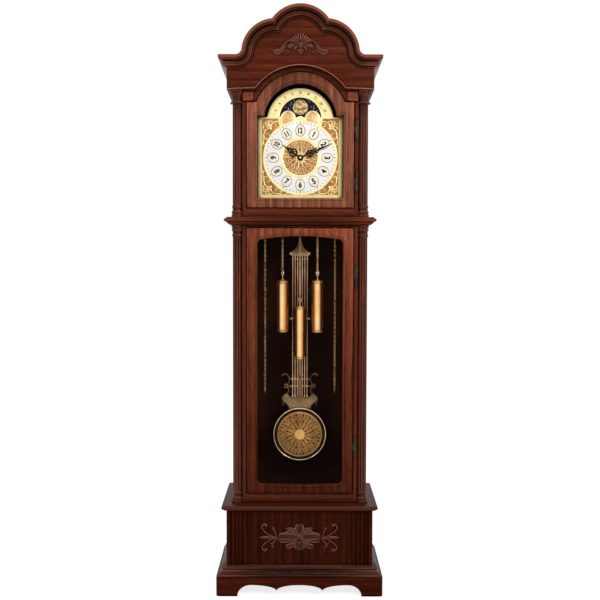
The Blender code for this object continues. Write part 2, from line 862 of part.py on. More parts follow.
def column_ring(radius, z, reeded, side):
    """One ring of a column, cut back where the case's corner stands behind it."""
    count = column["reeds"] * 2
    low_share = 1 - column["reed_depth_share"] if reeded else 1
    ring = []
    for i in range(count):
        r = radius * (low_share if i % 2 else 1)
        a = math.tau * (i + 0.5) / count
        x = max(r * math.cos(a), RECESS_X + CLEAR - COLUMN_X)
        y = min(r * math.sin(a), RECESS_Y - CLEAR - COLUMN_Y)
        ring.append((side * x, y, z))
    return ring


def column_mesh(low, high, cap_shares, side):
    rings = []
    for wide, up in column["foot_shares"]:
        z = low + column["foot_height"] * up
        rings.append(column_ring(COLUMN_RADIUS * wide, z, False, side))
    shaft = COLUMN_RADIUS * column["waist_share"]
    rings.append(column_ring(shaft, low + column["foot_height"], True, side))
    rings.append(column_ring(shaft, high - column["cap_height"], True, side))
    for wide, down in cap_shares:
        z = high - column["cap_height"] * down
        rings.append(column_ring(COLUMN_RADIUS * wide, z, False, side))
    return loft(rings)


def build_columns():
    storeys = [
        ("trunk", Z_LEDGE + CLEAR, Z_TRUNK, column["plain_cap_shares"]),
        ("hood", Z_WAIST + CLEAR, Z_FRIEZE, column["cap_shares"]),
    ]
    for storey, low, high, caps in storeys:
        for side, hand in ((-1, "left"), (1, "right")):
            mesh = column_mesh(low, high, caps, side)
            name = storey + "_column_" + hand
            node(name, mesh, "case_wood", (side * COLUMN_X, COLUMN_Y, 0), True)


# Waist moulding, pediment and crown
waist = {
    # How far out and how far up the waist moulding's profile goes
    "profile_shares": [
        (0.30, 0.00), (0.52, 0.10), (0.62, 0.30), (0.86, 0.42), (1.00, 0.50), (1.00, 0.72),
        (0.88, 0.82), (0.70, 0.86), (0.62, 1.00),
    ],
    "inner_depth": 0.010,
}
pediment = {
    "cut_half": 0.1516,
    "cut_rise": 0.0797,
    "centre_radius": 0.1132,
    "centre_rise": 0.0496,
    "side_radius": 0.111,
    "side_x": 0.0818,
    "side_rise": 0.0046,
    "fillet": 0.020,
    "crown_drop": 0.037,
    "board_inset": 0.002,
    "carving_half": 0.0925,
    "carving_low": 0.1120,
    "carving_height": 0.0700,
    "carving_relief": 0.007,
    "carving_edge": 0.0014,
    # The crown's profile: how far down from its edge, and how far out
    "crown_shares": [
        (0.00, 0.00), (0.00, 1.00), (0.30, 1.00), (0.36, 0.86), (0.46, 0.48), (0.56, 0.42),
        (0.66, 0.55), (0.80, 0.55), (1.00, 0.16), (1.00, 0.00),
    ],
    # The carving's right half, from its top down, its foot at the cut's crown
    "carving_shares": [
        (0.00, 1.00), (0.10, 0.97), (0.22, 0.88), (0.36, 0.80), (0.52, 0.72), (0.66, 0.56),
        (0.78, 0.40), (0.94, 0.22), (1.00, 0.06), (0.90, 0.00), (0.78, 0.12), (0.66, 0.20),
        (0.54, 0.36), (0.40, 0.44), (0.26, 0.40), (0.16, 0.26), (0.08, 0.12), (0.00, 0.08),
    ],
}


def bonnet(drop):
    """The scalloped top line's right half, moved in by a drop, from the middle to the level ledge."""
    rise = Z_CROWN + pediment["centre_rise"]
    centre = Vector((0, rise))
    side = Vector((pediment["side_x"], Z_CROWN + pediment["side_rise"]))
    r0 = pediment["centre_radius"] - drop
    r1 = pediment["side_radius"] - drop
    between = side - centre
    span = between.length
    along = (r0**2 - r1**2 + span**2) / (2 * span)
    across = math.sqrt(r0**2 - along**2)
    unit = between / span
    notch = centre + unit * along + Vector((-unit.y, unit.x)) * across
    to_notch = math.atan2(notch.y - centre.y, notch.x - centre.x)
    points = arc(centre, r0, math.pi / 2, to_notch, 6)
    points[0] = (0, centre.y + r0)
    fillet = pediment["fillet"]
    fillet_z = Z_CROWN + fillet
    reach = math.sqrt((pediment["side_radius"] + fillet) ** 2 - (fillet_z - side.y) ** 2)
    hollow = Vector((side.x + reach, fillet_z))
    start = math.atan2(notch.y - side.y, notch.x - side.x)
    end = math.atan2(hollow.y - side.y, hollow.x - side.x)
    points += arc(side, r1, start, end, 7)[1:]
    points += arc(hollow, fillet + drop, end + math.pi, math.pi * 1.5, 4)[1:]
    return points


def build_pediment():
    inset = pediment["board_inset"]
    low = Z_FRIEZE + CLEAR
    top = bonnet(inset)
    half = pediment["cut_half"]
    rise = pediment["cut_rise"]
    radius = (half**2 + rise**2) / (2 * rise)
    centre_z = Z_FRIEZE + rise - radius
    start = math.asin((low - centre_z) / radius)
    cut = arc((0, centre_z), radius, math.pi / 2, start, 9)
    cut[0] = (0, centre_z + radius)
    right = cut + [(FRIEZE_HALF, low), (FRIEZE_HALF, Z_CROWN - inset)] + top[::-1]
    front = prism(mirrored(right), BOX_FRONT, FRAME_FRONT - CLEAR)
    inner = SIDE_OUT + CLEAR
    returns = []
    for side in (-1, 1):
        left_x, right_x = sorted((side * inner, side * FRIEZE_HALF))
        overlap = BOX_FRONT + (FRAME_FRONT - BOX_FRONT) / 2
        returns.append(box(left_x, right_x, overlap, BACK, low, Z_CROWN - inset))
    node("pediment_board", combined(front, returns), "case_wood")
    foot = Z_FRIEZE + pediment["carving_low"]
    outline = mirrored(
        [
            (pediment["carving_half"] * x, foot + pediment["carving_height"] * z)
            for x, z in pediment["carving_shares"]
        ]
    )
    relief_front = BOX_FRONT - CLEAR - pediment["carving_relief"]
    carving = relief(outline, relief_front, pediment["carving_relief"], pediment["carving_edge"])
    node("pediment_carving", carving, "case_wood")


def build_crown():
    """The crown follows the scalloped line across the front and returns along the sides."""
    columns = []
    for down, out in pediment["crown_shares"]:
        drop = pediment["crown_drop"] * down
        y = BOX_FRONT - CLEAR - (CROWN_FRONT_OUT - CLEAR) * out
        x = FRIEZE_HALF + CLEAR + (CROWN_SIDE_OUT - CLEAR) * out
        line = bonnet(drop)
        right = [(px, y, pz) for px, pz in line] + [(x, y, Z_CROWN - drop), (x, BACK, Z_CROWN - drop)]
        left = [(-px, py, pz) for px, py, pz in reversed(right[1:])]
        columns.append(left + right)
    rings = [list(ring) for ring in zip(*columns)]
    node("crown_moulding", loft(rings), "case_wood")


def build_waist():
    low = Z_TRUNK + CLEAR
    height = Z_WAIST - low
    profile = [(share, low + height * up) for share, up in waist["profile_shares"]]
    mesh = wrapped(
        profile, TRUNK_HALF, DOOR_FRONT, WAIST_SIDE_OUT, WAIST_FRONT_OUT, BOARD_BACK - CLEAR,
        SIDE_IN - board["cheek_width"], FRAME_BACK + waist["inner_depth"],
    )
    node("waist_moulding", mesh, "case_wood")


# Movement: planes are depths behind the dial's front, counts are teeth
movement = {
    "dial_thickness": 0.0015,
    "seat_room": 0.024,
    "plate_plane": 0.017,
    "plate_thickness": 0.0025,
    "plate_spacing": 0.0655,
    "plate_margin": 0.0150,
    "plate_top": 0.0225,
    "pillar_radius": 0.004,
    "pillar_inset": 0.008,
    "pivot_radius": 0.0011,
    "pivot_room": 0.0003,
    "arbor_radius": 0.0022,
    "fine_arbor_radius": 0.0014,
    "wheel_thickness": 0.0022,
    "pinion_length": 0.0070,
    "great_plane": 0.063,
    "centre_plane": 0.025,
    "third_plane": 0.037,
    "escape_plane": 0.079,
    "third_angle": 121.7,
    "motion_angle": -45.0,
    "rim": 0.0042,
    "hub": 0.0060,
    "spoke": 0.0034,
}
counts = {
    "great": 64, "centre": 60, "third": 64, "escape": 30, "leaves": 8,
    "cannon": 8, "minute": 24, "minute_leaves": 8, "hour": 32,
}
modules = {"great": 0.00128, "centre": 0.0008, "third": 0.0006, "minute": 0.001125}
# A wheel's tooth and a pinion's leaf, above and below the pitch circle, and half a leaf's tip
tooth_shares = (0.70, 0.90)
leaf_shares = (0.55, 1.00)
leaf_tip_share = 0.07
sprocket = {
    # The height over which a chain goes from wide to narrow and back is twice this
    "link": 0.0150,
    "wide": 0.0030,
    "thin": 0.0010,
    "flange": 0.0010,
    "flange_rise": 0.0030,
    "room": 0.0008,
    "slot": 0.0072,
    "sides": 16,
}
escapement = {
    "wheel_radius": 0.016,
    "tooth": 0.0028,
    "anchor_rise": 0.0225,
    "pallet_room": 0.0013,
    "anchor_thickness": 0.0020,
    "collar": 0.0030,
    "crutch_length": 0.060,
    "crutch_half": 0.0016,
    "crutch_thickness": 0.0015,
    "crutch_gap": 0.0025,
    "pin_half": 0.0011,
    "cock_rise": 0.0040,
    "cock_height": 0.0080,
    "cock_half": 0.0080,
    "cock_past": 0.0060,
}

PLATE_Y = DIAL_FRONT + movement["plate_plane"]
PLATE_INNER = PLATE_Y + movement["plate_thickness"]
BACK_PLATE_Y = PLATE_INNER + movement["plate_spacing"]
BACK_PLATE_END = BACK_PLATE_Y + movement["plate_thickness"]
PENDULUM_Y = DIAL_FRONT + PENDULUM_PLANE
CHAIN_Y = DIAL_FRONT + CHAIN_PLANE
MIDDLE_CHAIN_Y = DIAL_FRONT + MIDDLE_CHAIN_PLANE


def spacing(wheel, leaves, module):
    return (counts[wheel] + counts[leaves]) * module / 2


def arbor_places():
    """Where each arbor stands, seen from the front."""
    centre = Vector((0, Z_HANDS))
    reach = spacing("great", "leaves", modules["great"])
    great = Vector((SPROCKET_RADIUS, Z_HANDS - math.sqrt(reach**2 - SPROCKET_RADIUS**2)))
    a = math.radians(movement["third_angle"])
    third = centre + Vector((math.cos(a), math.sin(a))) * spacing("centre", "leaves", modules["centre"])
    rise = math.sqrt(spacing("third", "leaves", modules["third"]) ** 2 - third.x**2)
    escape = Vector((0, third.y + rise))
    a = math.radians(movement["motion_angle"])
    minute = centre + Vector((math.cos(a), math.sin(a))) * spacing("minute", "cannon", modules["minute"])
    side = CHAIN_SPREAD + SPROCKET_RADIUS
    return {
        "centre": centre,
        "great": great,
        "third": third,
        "escape": escape,
        "anchor": escape + Vector((0, escapement["anchor_rise"])),
        "minute": minute,
        "left": Vector((-side, great.y)),
        "right": Vector((side, great.y)),
    }


arbors = arbor_places()
Z_SPROCKET = arbors["great"].y
Z_PIVOT = arbors["anchor"].y
Z_BOB = Z_LEDGE + BOB_ROOM + BOB_RADIUS


def direction(start, end):
    offset = arbors[end] - arbors[start]
    return math.atan2(offset.y, offset.x)


def wheel_outline(name, module, towards):
    """A wheel with a tooth on the line to the arbor that it works with."""
    return gear(counts[name], module, *tooth_shares, towards)


def pinion_outline(name, module, towards):
    """A pinion with a gap on the line to the wheel that it works with."""
    turn = towards + math.pi / counts[name]
    return gear(counts[name], module, *leaf_shares, turn, leaf_tip_share)


def crossings(outer, turn=0.0):
    """The four openings between a wheel's rim, hub and spokes."""
    high = outer - movement["rim"]
    low = movement["hub"]
    half = movement["spoke"] / 2
    holes = []
    for i in range(4):
        middle = turn + math.tau * i / 4
        lean = math.asin(half / high)
        rim = arc((0, 0), high, middle - math.pi / 4 + lean, middle + math.pi / 4 - lean, 4)
        lean = math.asin(half / low)
        hub = arc((0, 0), low, middle + math.pi / 4 - lean, middle - math.pi / 4 + lean, 2)
        holes.append(rim + hub)
    return holes


def arbor_body(parts, pivot, thick, first=None, last=None):
    """An arbor between the plates: parts are (middle plane, length, outlines), in order."""
    first = PLATE_Y if first is None else first
    last = BACK_PLATE_END if last is None else last
    pin = circle(pivot, 6, turn=math.pi / 7)
    rod = circle(thick, 8)
    inner = PLATE_INNER + CLEAR
    outer = BACK_PLATE_Y - CLEAR
    sections = [(first, inner, [pin])]
    at = inner
    for middle, length, outlines in parts:
        sections.append((at, middle - length / 2, [rod]))
        sections.append((middle - length / 2, middle + length / 2, outlines))
        at = middle + length / 2
    sections.append((at, outer, [rod]))
    sections.append((outer, last, [pin]))
    return sections


def sprocket_sections(middle):
    """A grooved chain wheel about its middle plane."""
    flange = circle(SPROCKET_RADIUS + sprocket["flange_rise"], sprocket["sides"])
    groove = circle(SPROCKET_RADIUS - sprocket["wide"] - CLEAR * 2, sprocket["sides"])
    inner = sprocket["wide"] + sprocket["room"]
    outer = inner + sprocket["flange"]
    return [
        (middle - (inner + outer) / 2, outer - inner, [flange]),
        (middle, inner * 2, [groove]),
        (middle + (inner + outer) / 2, outer - inner, [flange]),
    ]


def build_seat():
    """The seat board, on two cheeks that stand on the waist moulding, slotted for the chains."""
    half = SIDE_IN - CLEAR
    low = Z_WAIST + CLEAR
    under = Z_SEAT - SEAT_THICKNESS
    cheek = half - board["return_width"]
    outline = [(-half, low), (-cheek, low), (-cheek, under), (cheek, under), (cheek, low), (half, low)]
    outline += [(half, Z_SEAT), (-half, Z_SEAT)]
    near = RECESS_Y + SIDE_THICKNESS + CLEAR
    body = prism(outline, near, PENDULUM_Y - movement["seat_room"])
    slot = sprocket["slot"]
    far = CHAIN_SPREAD + SPROCKET_RADIUS * 2
    places = [(x, CHAIN_Y) for x in (-far, -CHAIN_SPREAD, CHAIN_SPREAD, far)]
    places += [(0, MIDDLE_CHAIN_Y), (SPROCKET_RADIUS * 2, MIDDLE_CHAIN_Y)]
    cuts = []
    for x, y in places:
        cuts.append(box(x - slot, x + slot, y - slot, y + slot, under - OVERRUN, Z_SEAT + OVERRUN))
    node("seat_board", combined(body, cuts, "DIFFERENCE"), "inner_wood")


def plate_outline():
    half = CHAIN_SPREAD + SPROCKET_RADIUS + movement["plate_margin"]
    return rectangle(-half, half, Z_SEAT + CLEAR, Z_PIVOT + movement["plate_top"])


def pivot_holes(bigger):
    holes = []
    for name in ("centre", "great", "third", "escape", "anchor", "left", "right"):
        radius = bigger.get(name, movement["pivot_radius"]) + movement["pivot_room"]
        holes.append(circle(radius / math.cos(math.pi / 6), 6, arbors[name]))
    return holes


def build_plates():
    outline = plate_outline()
    right, low = outline[1]
    high = outline[2][1]
    inset = movement["pillar_inset"]
    pillars = []
    for x in (inset - right, right - inset):
        for z in (low + inset, high - inset):
            pillars.append(circle(movement["pillar_radius"], 8, (x, z)))
    stud = circle(movement["fine_arbor_radius"], 8, arbors["minute"])
    stud_front = PLATE_Y - movement["pinion_length"] - movement["wheel_thickness"]
    holes = pivot_holes({"centre": movement["arbor_radius"]})
    sections = [
        (stud_front, PLATE_Y, [stud]),
        (PLATE_Y, PLATE_INNER, [outline, *holes]),
        (PLATE_INNER, BACK_PLATE_Y - CLEAR, pillars),
    ]
    node("movement_front_plate", stack(sections), "brass")
    cock_low = Z_PIVOT + escapement["cock_rise"]
    cock = rectangle(
        -escapement["cock_half"], escapement["cock_half"], cock_low, cock_low + escapement["cock_height"]
    )
    sections = [
        (BACK_PLATE_Y, BACK_PLATE_END, [outline, *pivot_holes({})]),
        (BACK_PLATE_END, PENDULUM_Y + escapement["cock_past"], [cock]),
    ]
    node("movement_back_plate", stack(sections), "brass")


def place_on(name, sections, arbor, finish="brass"):
    """A wheel whose origin lies on its arbor's axis."""
    at = (arbors[arbor].x, 0, arbors[arbor].y)
    return node(name, stack(sections), finish, at)


def build_chain_wheels():
    """The great wheel with its chain wheel, and the chain wheel at each side of it."""
    thick = movement["wheel_thickness"]
    pivot = movement["pivot_radius"]
    rod = movement["arbor_radius"]
    great_y = DIAL_FRONT + movement["great_plane"]
    great = wheel_outline("great", modules["great"], direction("great", "centre"))
    holes = crossings(counts["great"] * modules["great"] / 2)
    parts = [(great_y, thick, [great, *holes]), *sprocket_sections(MIDDLE_CHAIN_Y)]
    place_on("great_wheel", arbor_body(parts, pivot, rod), "great")
    for name in ("left", "right"):
        parts = sprocket_sections(CHAIN_Y)
        place_on("chain_wheel_" + name, arbor_body(parts, pivot, rod), name)



def build_centre_wheel():
    """The centre arbor: the wheel, the pinion behind it and the cannon pinion in front."""
    thick = movement["wheel_thickness"]
    leaf = movement["pinion_length"]
    great_y = DIAL_FRONT + movement["great_plane"]
    centre_y = DIAL_FRONT + movement["centre_plane"]
    wheel = wheel_outline("centre", modules["centre"], direction("centre", "third"))
    pinion = pinion_outline("leaves", modules["great"], direction("centre", "great"))
    cannon = pinion_outline("cannon", modules["minute"], direction("centre", "minute"))
    tip = circle(hands["arbor_radius"], 8)
    tube = circle(movement["arbor_radius"], 8)
    cannon_y = PLATE_Y - motion["room"] - motion["thickness"] / 2
    half = motion["cannon_length"] / 2
    sections = [
        (DIAL_FRONT - hands["arbor_reach"], DIAL_FRONT - hands["minute_back"] + CLEAR, [tip]),
        (DIAL_FRONT - hands["minute_back"] + CLEAR, cannon_y - half, [tube]),
        (cannon_y - half, cannon_y + half, [cannon]),
        (cannon_y + half, centre_y - thick / 2, [tube]),
        (centre_y - thick / 2, centre_y + thick / 2, [wheel]),
        (centre_y + thick / 2, great_y - leaf / 2, [tube]),
        (great_y - leaf / 2, great_y + leaf / 2, [pinion]),
        (great_y + leaf / 2, BACK_PLATE_Y - CLEAR, [tube]),
        (BACK_PLATE_Y - CLEAR, BACK_PLATE_END, [circle(movement["pivot_radius"], 8)]),
    ]
    place_on("centre_wheel", sections, "centre")


def build_upper_wheels():
    """The third wheel and the escape wheel."""
    thick = movement["wheel_thickness"]
    leaf = movement["pinion_length"]
    pivot = movement["pivot_radius"]
    fine = movement["fine_arbor_radius"]
    centre_y = DIAL_FRONT + movement["centre_plane"]
    third_y = DIAL_FRONT + movement["third_plane"]
    escape_y = DIAL_FRONT + movement["escape_plane"]
    wheel = wheel_outline("third", modules["third"], direction("third", "escape"))
    pinion = pinion_outline("leaves", modules["centre"], direction("third", "centre"))
    parts = [(centre_y, leaf / 2, [pinion]), (third_y, thick, [wheel])]
    place_on("third_wheel", arbor_body(parts, pivot, fine), "third")

    radius = escapement["wheel_radius"]
    module = radius * 2 / counts["escape"]
    wheel = gear(counts["escape"], module, 0, escapement["tooth"] / module)
    pinion = pinion_outline("leaves", modules["third"], direction("escape", "third"))
    parts = [(third_y, leaf, [pinion]), (escape_y, thick / 2, [wheel])]
    place_on("escape_wheel", arbor_body(parts, pivot, fine), "escape")


# The motion work between the front plate and the dial
motion = {
    "room": 0.0022,
    "thickness": 0.0015,
    "cannon_length": 0.0030,
    "hour_front": 0.0082,
}


def build_motion():
    hour_module = spacing("minute", "cannon", modules["minute"]) * 2
    hour_module /= counts["hour"] + counts["minute_leaves"]
    bore = circle(movement["fine_arbor_radius"] + CLEAR, 8)
    wheel_back = PLATE_Y - motion["room"]
    wheel_front = wheel_back - motion["thickness"]
    hour_front = DIAL_FRONT + motion["hour_front"]
    wheel = wheel_outline("minute", modules["minute"], direction("minute", "centre"))
    leaves = pinion_outline("minute_leaves", hour_module, direction("minute", "centre"))
    sections = [
        (hour_front - motion["thickness"] / 2, wheel_front, [leaves, bore]),
        (wheel_front, wheel_back, [wheel, bore]),
    ]
    place_on("minute_wheel", sections, "minute")
    return hour_module


# Hands: lengths from the middle, depths in front of the dial
hands = {
    "minute_length": 0.108,
    "hour_length": 0.074,
    "minute_width": 0.0085,
    "hour_width": 0.0125,
    "minute_turn": 66.0,
    "hour_turn": 305.5,
    "thickness": 0.0011,
    "hour_back": 0.0035,
    "minute_back": 0.0060,
    "arbor_reach": 0.0078,
    "arbor_radius": 0.0015,
    "pipe_wall": 0.0011,
    # Half a hand's width and its place along the hand, from the tail to the tip
    "outline_shares": [
        (0.00, -0.085), (0.55, -0.075), (0.85, 0.00), (0.55, 0.075), (0.20, 0.115), (0.24, 0.17),
        (0.85, 0.24), (1.00, 0.32), (0.62, 0.39), (0.26, 0.44), (0.62, 0.50), (0.80, 0.57),
        (0.46, 0.65), (0.18, 0.72), (0.16, 0.90), (0.00, 1.00),
    ],
    "eye_shares": [(0.00, 0.215), (0.55, 0.27), (0.60, 0.33), (0.00, 0.41)],
    "upper_eye_shares": [(0.00, 0.475), (0.40, 0.54), (0.42, 0.585), (0.00, 0.66)],
}


def hand_outlines(length, width, degrees):
    """A pierced hand and its openings, turned clockwise from upright."""
    a = math.radians(degrees)
    made = []
    for name in ("outline_shares", "eye_shares", "upper_eye_shares"):
        half = [(width * x, length * z) for x, z in hands[name]]
        whole = mirrored(half)
        made.append(
            [(x * math.cos(a) + z * math.sin(a), z * math.cos(a) - x * math.sin(a)) for x, z in whole]
        )
    return made


def build_hands(hour_module):
    rod = movement["arbor_radius"]
    bore = circle(rod + CLEAR, 8)
    pipe = circle(rod + CLEAR + hands["pipe_wall"], 8)
    hand, *eyes = hand_outlines(hands["hour_length"], hands["hour_width"], hands["hour_turn"])
    back = DIAL_FRONT - hands["hour_back"]
    wheel_front = DIAL_FRONT + motion["hour_front"]
    wheel = wheel_outline("hour", hour_module, direction("centre", "minute"))
    sections = [
        (back - hands["thickness"], back, [hand, bore, *eyes]),
        (back, wheel_front, [pipe, bore]),
        (wheel_front, wheel_front + motion["thickness"], [wheel, bore]),
    ]
    place_on("hour_hand", sections, "centre", "black")
    bore = circle(hands["arbor_radius"] + CLEAR, 8)
    hand, *eyes = hand_outlines(hands["minute_length"], hands["minute_width"], hands["minute_turn"])
    back = DIAL_FRONT - hands["minute_back"]
    place_on("minute_hand", [(back - hands["thickness"], back, [hand, bore, *eyes])], "centre", "black")


# Dial plate, chapter ring and moon disc
dial = {
    "ring_radius": 0.119,
    "ring_inner": 0.078,
    "ring_thickness": 0.0015,
    "ring_sides": 36,
    "moon_sides": 28,
    "foot_radius": 0.003,
    "foot_x": 0.095,
    "foot_low": 0.035,
    "foot_high": 0.034,
    "moon_rise": 0.0105,
    "moon_window": 0.0705,
    "hump_x": 0.041,
    "hump_radius": 0.026,
    "hump_rise": 0.001,
    "lobe": 0.0095,
    "moon_disc": 0.0745,
    "moon_gap": 0.001,
    "moon_thickness": 0.0013,
    "stud_radius": 0.002,
}
Z_MOON = Z_ARCH + dial["moon_rise"]


def moon_window():
    """The opening over the moon disc: round above, two humps and a lobe below."""
    hump = (dial["hump_x"], Z_MOON + dial["hump_rise"])
    radius = dial["hump_radius"]
    points = arc((0, Z_MOON), dial["moon_window"], math.pi / 2, math.radians(4), 9)
    points[0] = (0, Z_MOON + dial["moon_window"])
    points += arc(hump, radius, math.radians(6), math.radians(174), 7)
    points.append((0, Z_MOON + dial["lobe"]))
    return mirrored(points)


def build_dial():
    back = DIAL_FRONT + movement["dial_thickness"]
    half = DIAL_HALF
    low = HOOD_DOOR_LOW + hood_door["low_rail"]
    shoulder = Z_ARCH + hood_door["ear"]
    radius = DIAL_ARCH_RADIUS
    points = [(half, low), (half, shoulder)]
    ear = hood_door["ear"]
    points += arc((0, Z_ARCH), radius, math.asin(ear / radius), math.pi / 2, 9)
    points[-1] = (0, Z_ARCH + radius)
    pipe = movement["arbor_radius"] + CLEAR + hands["pipe_wall"]
    hole = circle(pipe + CLEAR * 2, 8, arbors["centre"])
    feet = []
    for x in (-dial["foot_x"], dial["foot_x"]):
        for z in (Z_SEAT + dial["foot_low"], Z_HANDS + dial["foot_high"]):
            feet.append(circle(dial["foot_radius"], 6, (x, z)))
    stud = circle(dial["stud_radius"], 8, (0, Z_MOON))
    disc_front = back + dial["moon_gap"]
    disc_back = disc_front + dial["moon_thickness"]
    sections = [
        (DIAL_FRONT, back, [mirrored(points), moon_window(), hole]),
        (back, disc_back + dial["moon_gap"], [*feet, stud]),
        (disc_back + dial["moon_gap"], PLATE_Y - CLEAR, feet),
    ]
    node("dial_plate", stack(sections), "gold")
    front = DIAL_FRONT - CLEAR
    ring = [circle(dial[key], dial["ring_sides"]) for key in ("ring_radius", "ring_inner")]
    ring = stack([(front - dial["ring_thickness"], front, ring)])
    node("chapter_ring", ring, "silver", (0, 0, Z_HANDS))
    disc = [circle(dial["moon_disc"], dial["moon_sides"]), circle(dial["stud_radius"] + CLEAR, 8)]
    node("moon_disc", stack([(disc_front, disc_back, disc)]), "moon", (0, 0, Z_MOON))


def build_anchor():
    """The anchor between the plates and the crutch behind them, on one arbor."""
    rise = escapement["anchor_rise"]
    reach = escapement["wheel_radius"] + escapement["pallet_room"]
    across = reach * math.sin(math.pi / 4)
    down = rise - reach * math.cos(math.pi / 4)
    anchor_shares = [
        (0.00, 0.42), (0.42, 0.30), (1.22, -0.42), (1.20, -0.80), (1.00, -1.00), (0.93, -0.75),
        (0.85, -0.45), (0.35, -0.25), (0.00, -0.30),
    ]
    outline = mirrored([(across * x, down * z) for x, z in anchor_shares])
    plane = DIAL_FRONT + movement["escape_plane"]
    thick = escapement["anchor_thickness"]
    crutch_y = BACK_PLATE_END + escapement["crutch_gap"]
    crutch_end = crutch_y + escapement["crutch_thickness"]
    half = escapement["crutch_half"]
    length = escapement["crutch_length"]
    collar = escapement["collar"]
    crutch = mirrored([(half, -length), (half, -collar), (collar, 0), (half, collar)])
    pin_half = escapement["pin_half"]
    pin = rectangle(-pin_half, pin_half, pin_half - length, pin_half * 3 - length)
    parts = [(plane, thick, [outline])]
    sections = arbor_body(parts, movement["pivot_radius"], movement["fine_arbor_radius"], last=crutch_y)
    sections.append((crutch_y, crutch_end, [crutch]))
    sections.append((crutch_end, PENDULUM_Y - pendulum["bar_thickness"] / 2 - CLEAR, [pin]))
    place_on("anchor", sections, "anchor", "steel")


# Pendulum: heights below the pivot, half widths across
pendulum = {
    "bar_half": 0.003,
    "bar_thickness": 0.0025,
    "rods": 7,
    "rod_pitch": 0.0086,
    "rod_radius": 0.0019,
    "bracket_top": 0.3275,
    "bracket_height": 0.061,
    "bracket_half": 0.034,
    "bracket_depth": 0.008,
    "bar_drop": 0.6115,
    "bar_reach": 0.036,
    "bar_height": 0.0075,
    "lyre_half": 0.0644,
    "lyre_height": 0.126,
    "lyre_depth": 0.0075,
    "rod_tail": 0.020,
    "bob_gap": 0.0004,
    # The bracket's right half, from the stem's top down
    "bracket_shares": [(0.12, 1.00), (0.14, 0.78), (0.34, 0.52), (0.86, 0.28), (1.00, 0.16), (1.00, 0.00)],
    # The lyre's right half, from the inner side of its horn round the outside to the foot
    "lyre_shares": [
        (0.00, 0.90), (0.10, 0.86), (0.42, 0.83), (0.62, 0.90), (0.68, 1.00), (0.86, 0.99), (0.90, 0.88),
        (0.74, 0.79), (0.64, 0.72), (0.64, 0.60), (0.82, 0.46), (0.99, 0.34), (1.00, 0.20), (0.88, 0.08),
        (0.62, 0.04), (0.50, 0.00), (0.00, -0.02),
    ],
    "lyre_opening_shares": [
        (0.08, 0.70), (0.45, 0.74), (0.47, 0.57), (0.62, 0.43), (0.74, 0.32), (0.66, 0.24), (0.44, 0.37),
        (0.08, 0.44),
    ],
}
bob = {
    "sides": 26,
    # Radius as a share of the bob's, and depth forward of its back
    "profile_shares": [
        (0.72, 0.00), (0.98, 0.020), (1.00, 0.070), (0.955, 0.105), (0.88, 0.095), (0.86, 0.080),
        (0.82, 0.110), (0.45, 0.145),
    ],
}


def build_pendulum():
    top = Z_PIVOT + escapement["cock_rise"] - CLEAR
    bracket_low = Z_PIVOT - pendulum["bracket_top"] - pendulum["bracket_height"]
    half_bar = pendulum["bar_thickness"] / 2
    bar_inset_share = 0.25
    rod_inset_share = 0.12
    bar_low = bracket_low + pendulum["bracket_height"] * bar_inset_share
    rod_high = bracket_low + pendulum["bracket_height"] * rod_inset_share
    wide = pendulum["bar_half"]
    bar = box(-wide, wide, PENDULUM_Y - half_bar, PENDULUM_Y + half_bar, bar_low, top)
    half = pendulum["bracket_depth"] / 2
    outline = mirrored(
        [
            (pendulum["bracket_half"] * x, bracket_low + pendulum["bracket_height"] * z)
            for x, z in pendulum["bracket_shares"]
        ]
    )
    pieces = [prism(outline, PENDULUM_Y - half, PENDULUM_Y + half)]
    bar_z = Z_PIVOT - pendulum["bar_drop"]
    reach = pendulum["bar_reach"]
    height = pendulum["bar_height"] / 2
    near, far = PENDULUM_Y - half, PENDULUM_Y + half
    pieces.append(box(-reach, reach, near, far, bar_z - height, bar_z + height))
    foot = Z_BOB + BOB_RADIUS
    lyre, opening = (
        [(pendulum["lyre_half"] * x, foot + pendulum["lyre_height"] * z) for x, z in pendulum[key]]
        for key in ("lyre_shares", "lyre_opening_shares")
    )
    half = pendulum["lyre_depth"] / 2
    other = [(-x, z) for x, z in opening]
    pieces.append(prism(mirrored(lyre), PENDULUM_Y - half, PENDULUM_Y + half, "Y", [opening, other]))
    for i in range(pendulum["rods"]):
        x = pendulum["rod_pitch"] * (i - (pendulum["rods"] - 1) / 2)
        low = Z_BOB - pendulum["rod_tail"]
        rod = turned([(pendulum["rod_radius"], low), (pendulum["rod_radius"], rod_high)], 6)
        pieces.append(moved(rod, (x, PENDULUM_Y, 0)))
    pivot = (0, PENDULUM_Y, Z_PIVOT)
    rod = hinged("pendulum_rod", combined(bar, pieces), "gold", pivot, True)
    back = PENDULUM_Y - pendulum["rod_radius"] - CLEAR
    profile = [(BOB_RADIUS * r, back - BOB_RADIUS * depth) for r, depth in bob["profile_shares"]]
    disc = moved(turned(profile, bob["sides"], "Y"), (0, 0, Z_BOB))
    disc = hinged("pendulum_bob", disc, "gold", pivot, True)
    carrier("pendulum_axis", pivot, [rod, disc])


# Weights and chains: drops below the chain wheels' middle
weight = {
    "radius": 0.0200,
    "middle_radius": 0.0213,
    "length": 0.1796,
    "middle_length": 0.185,
    "cap_height": 0.0155,
    "cap_radius_share": 0.86,
    "hook": 0.0280,
    "hook_radius": 0.0018,
    "drop": 0.3490,
    "middle_drop": 0.4394,
    "sides": 12,
    "free_drop": 0.7640,
    "middle_free_drop": 0.6700,
}


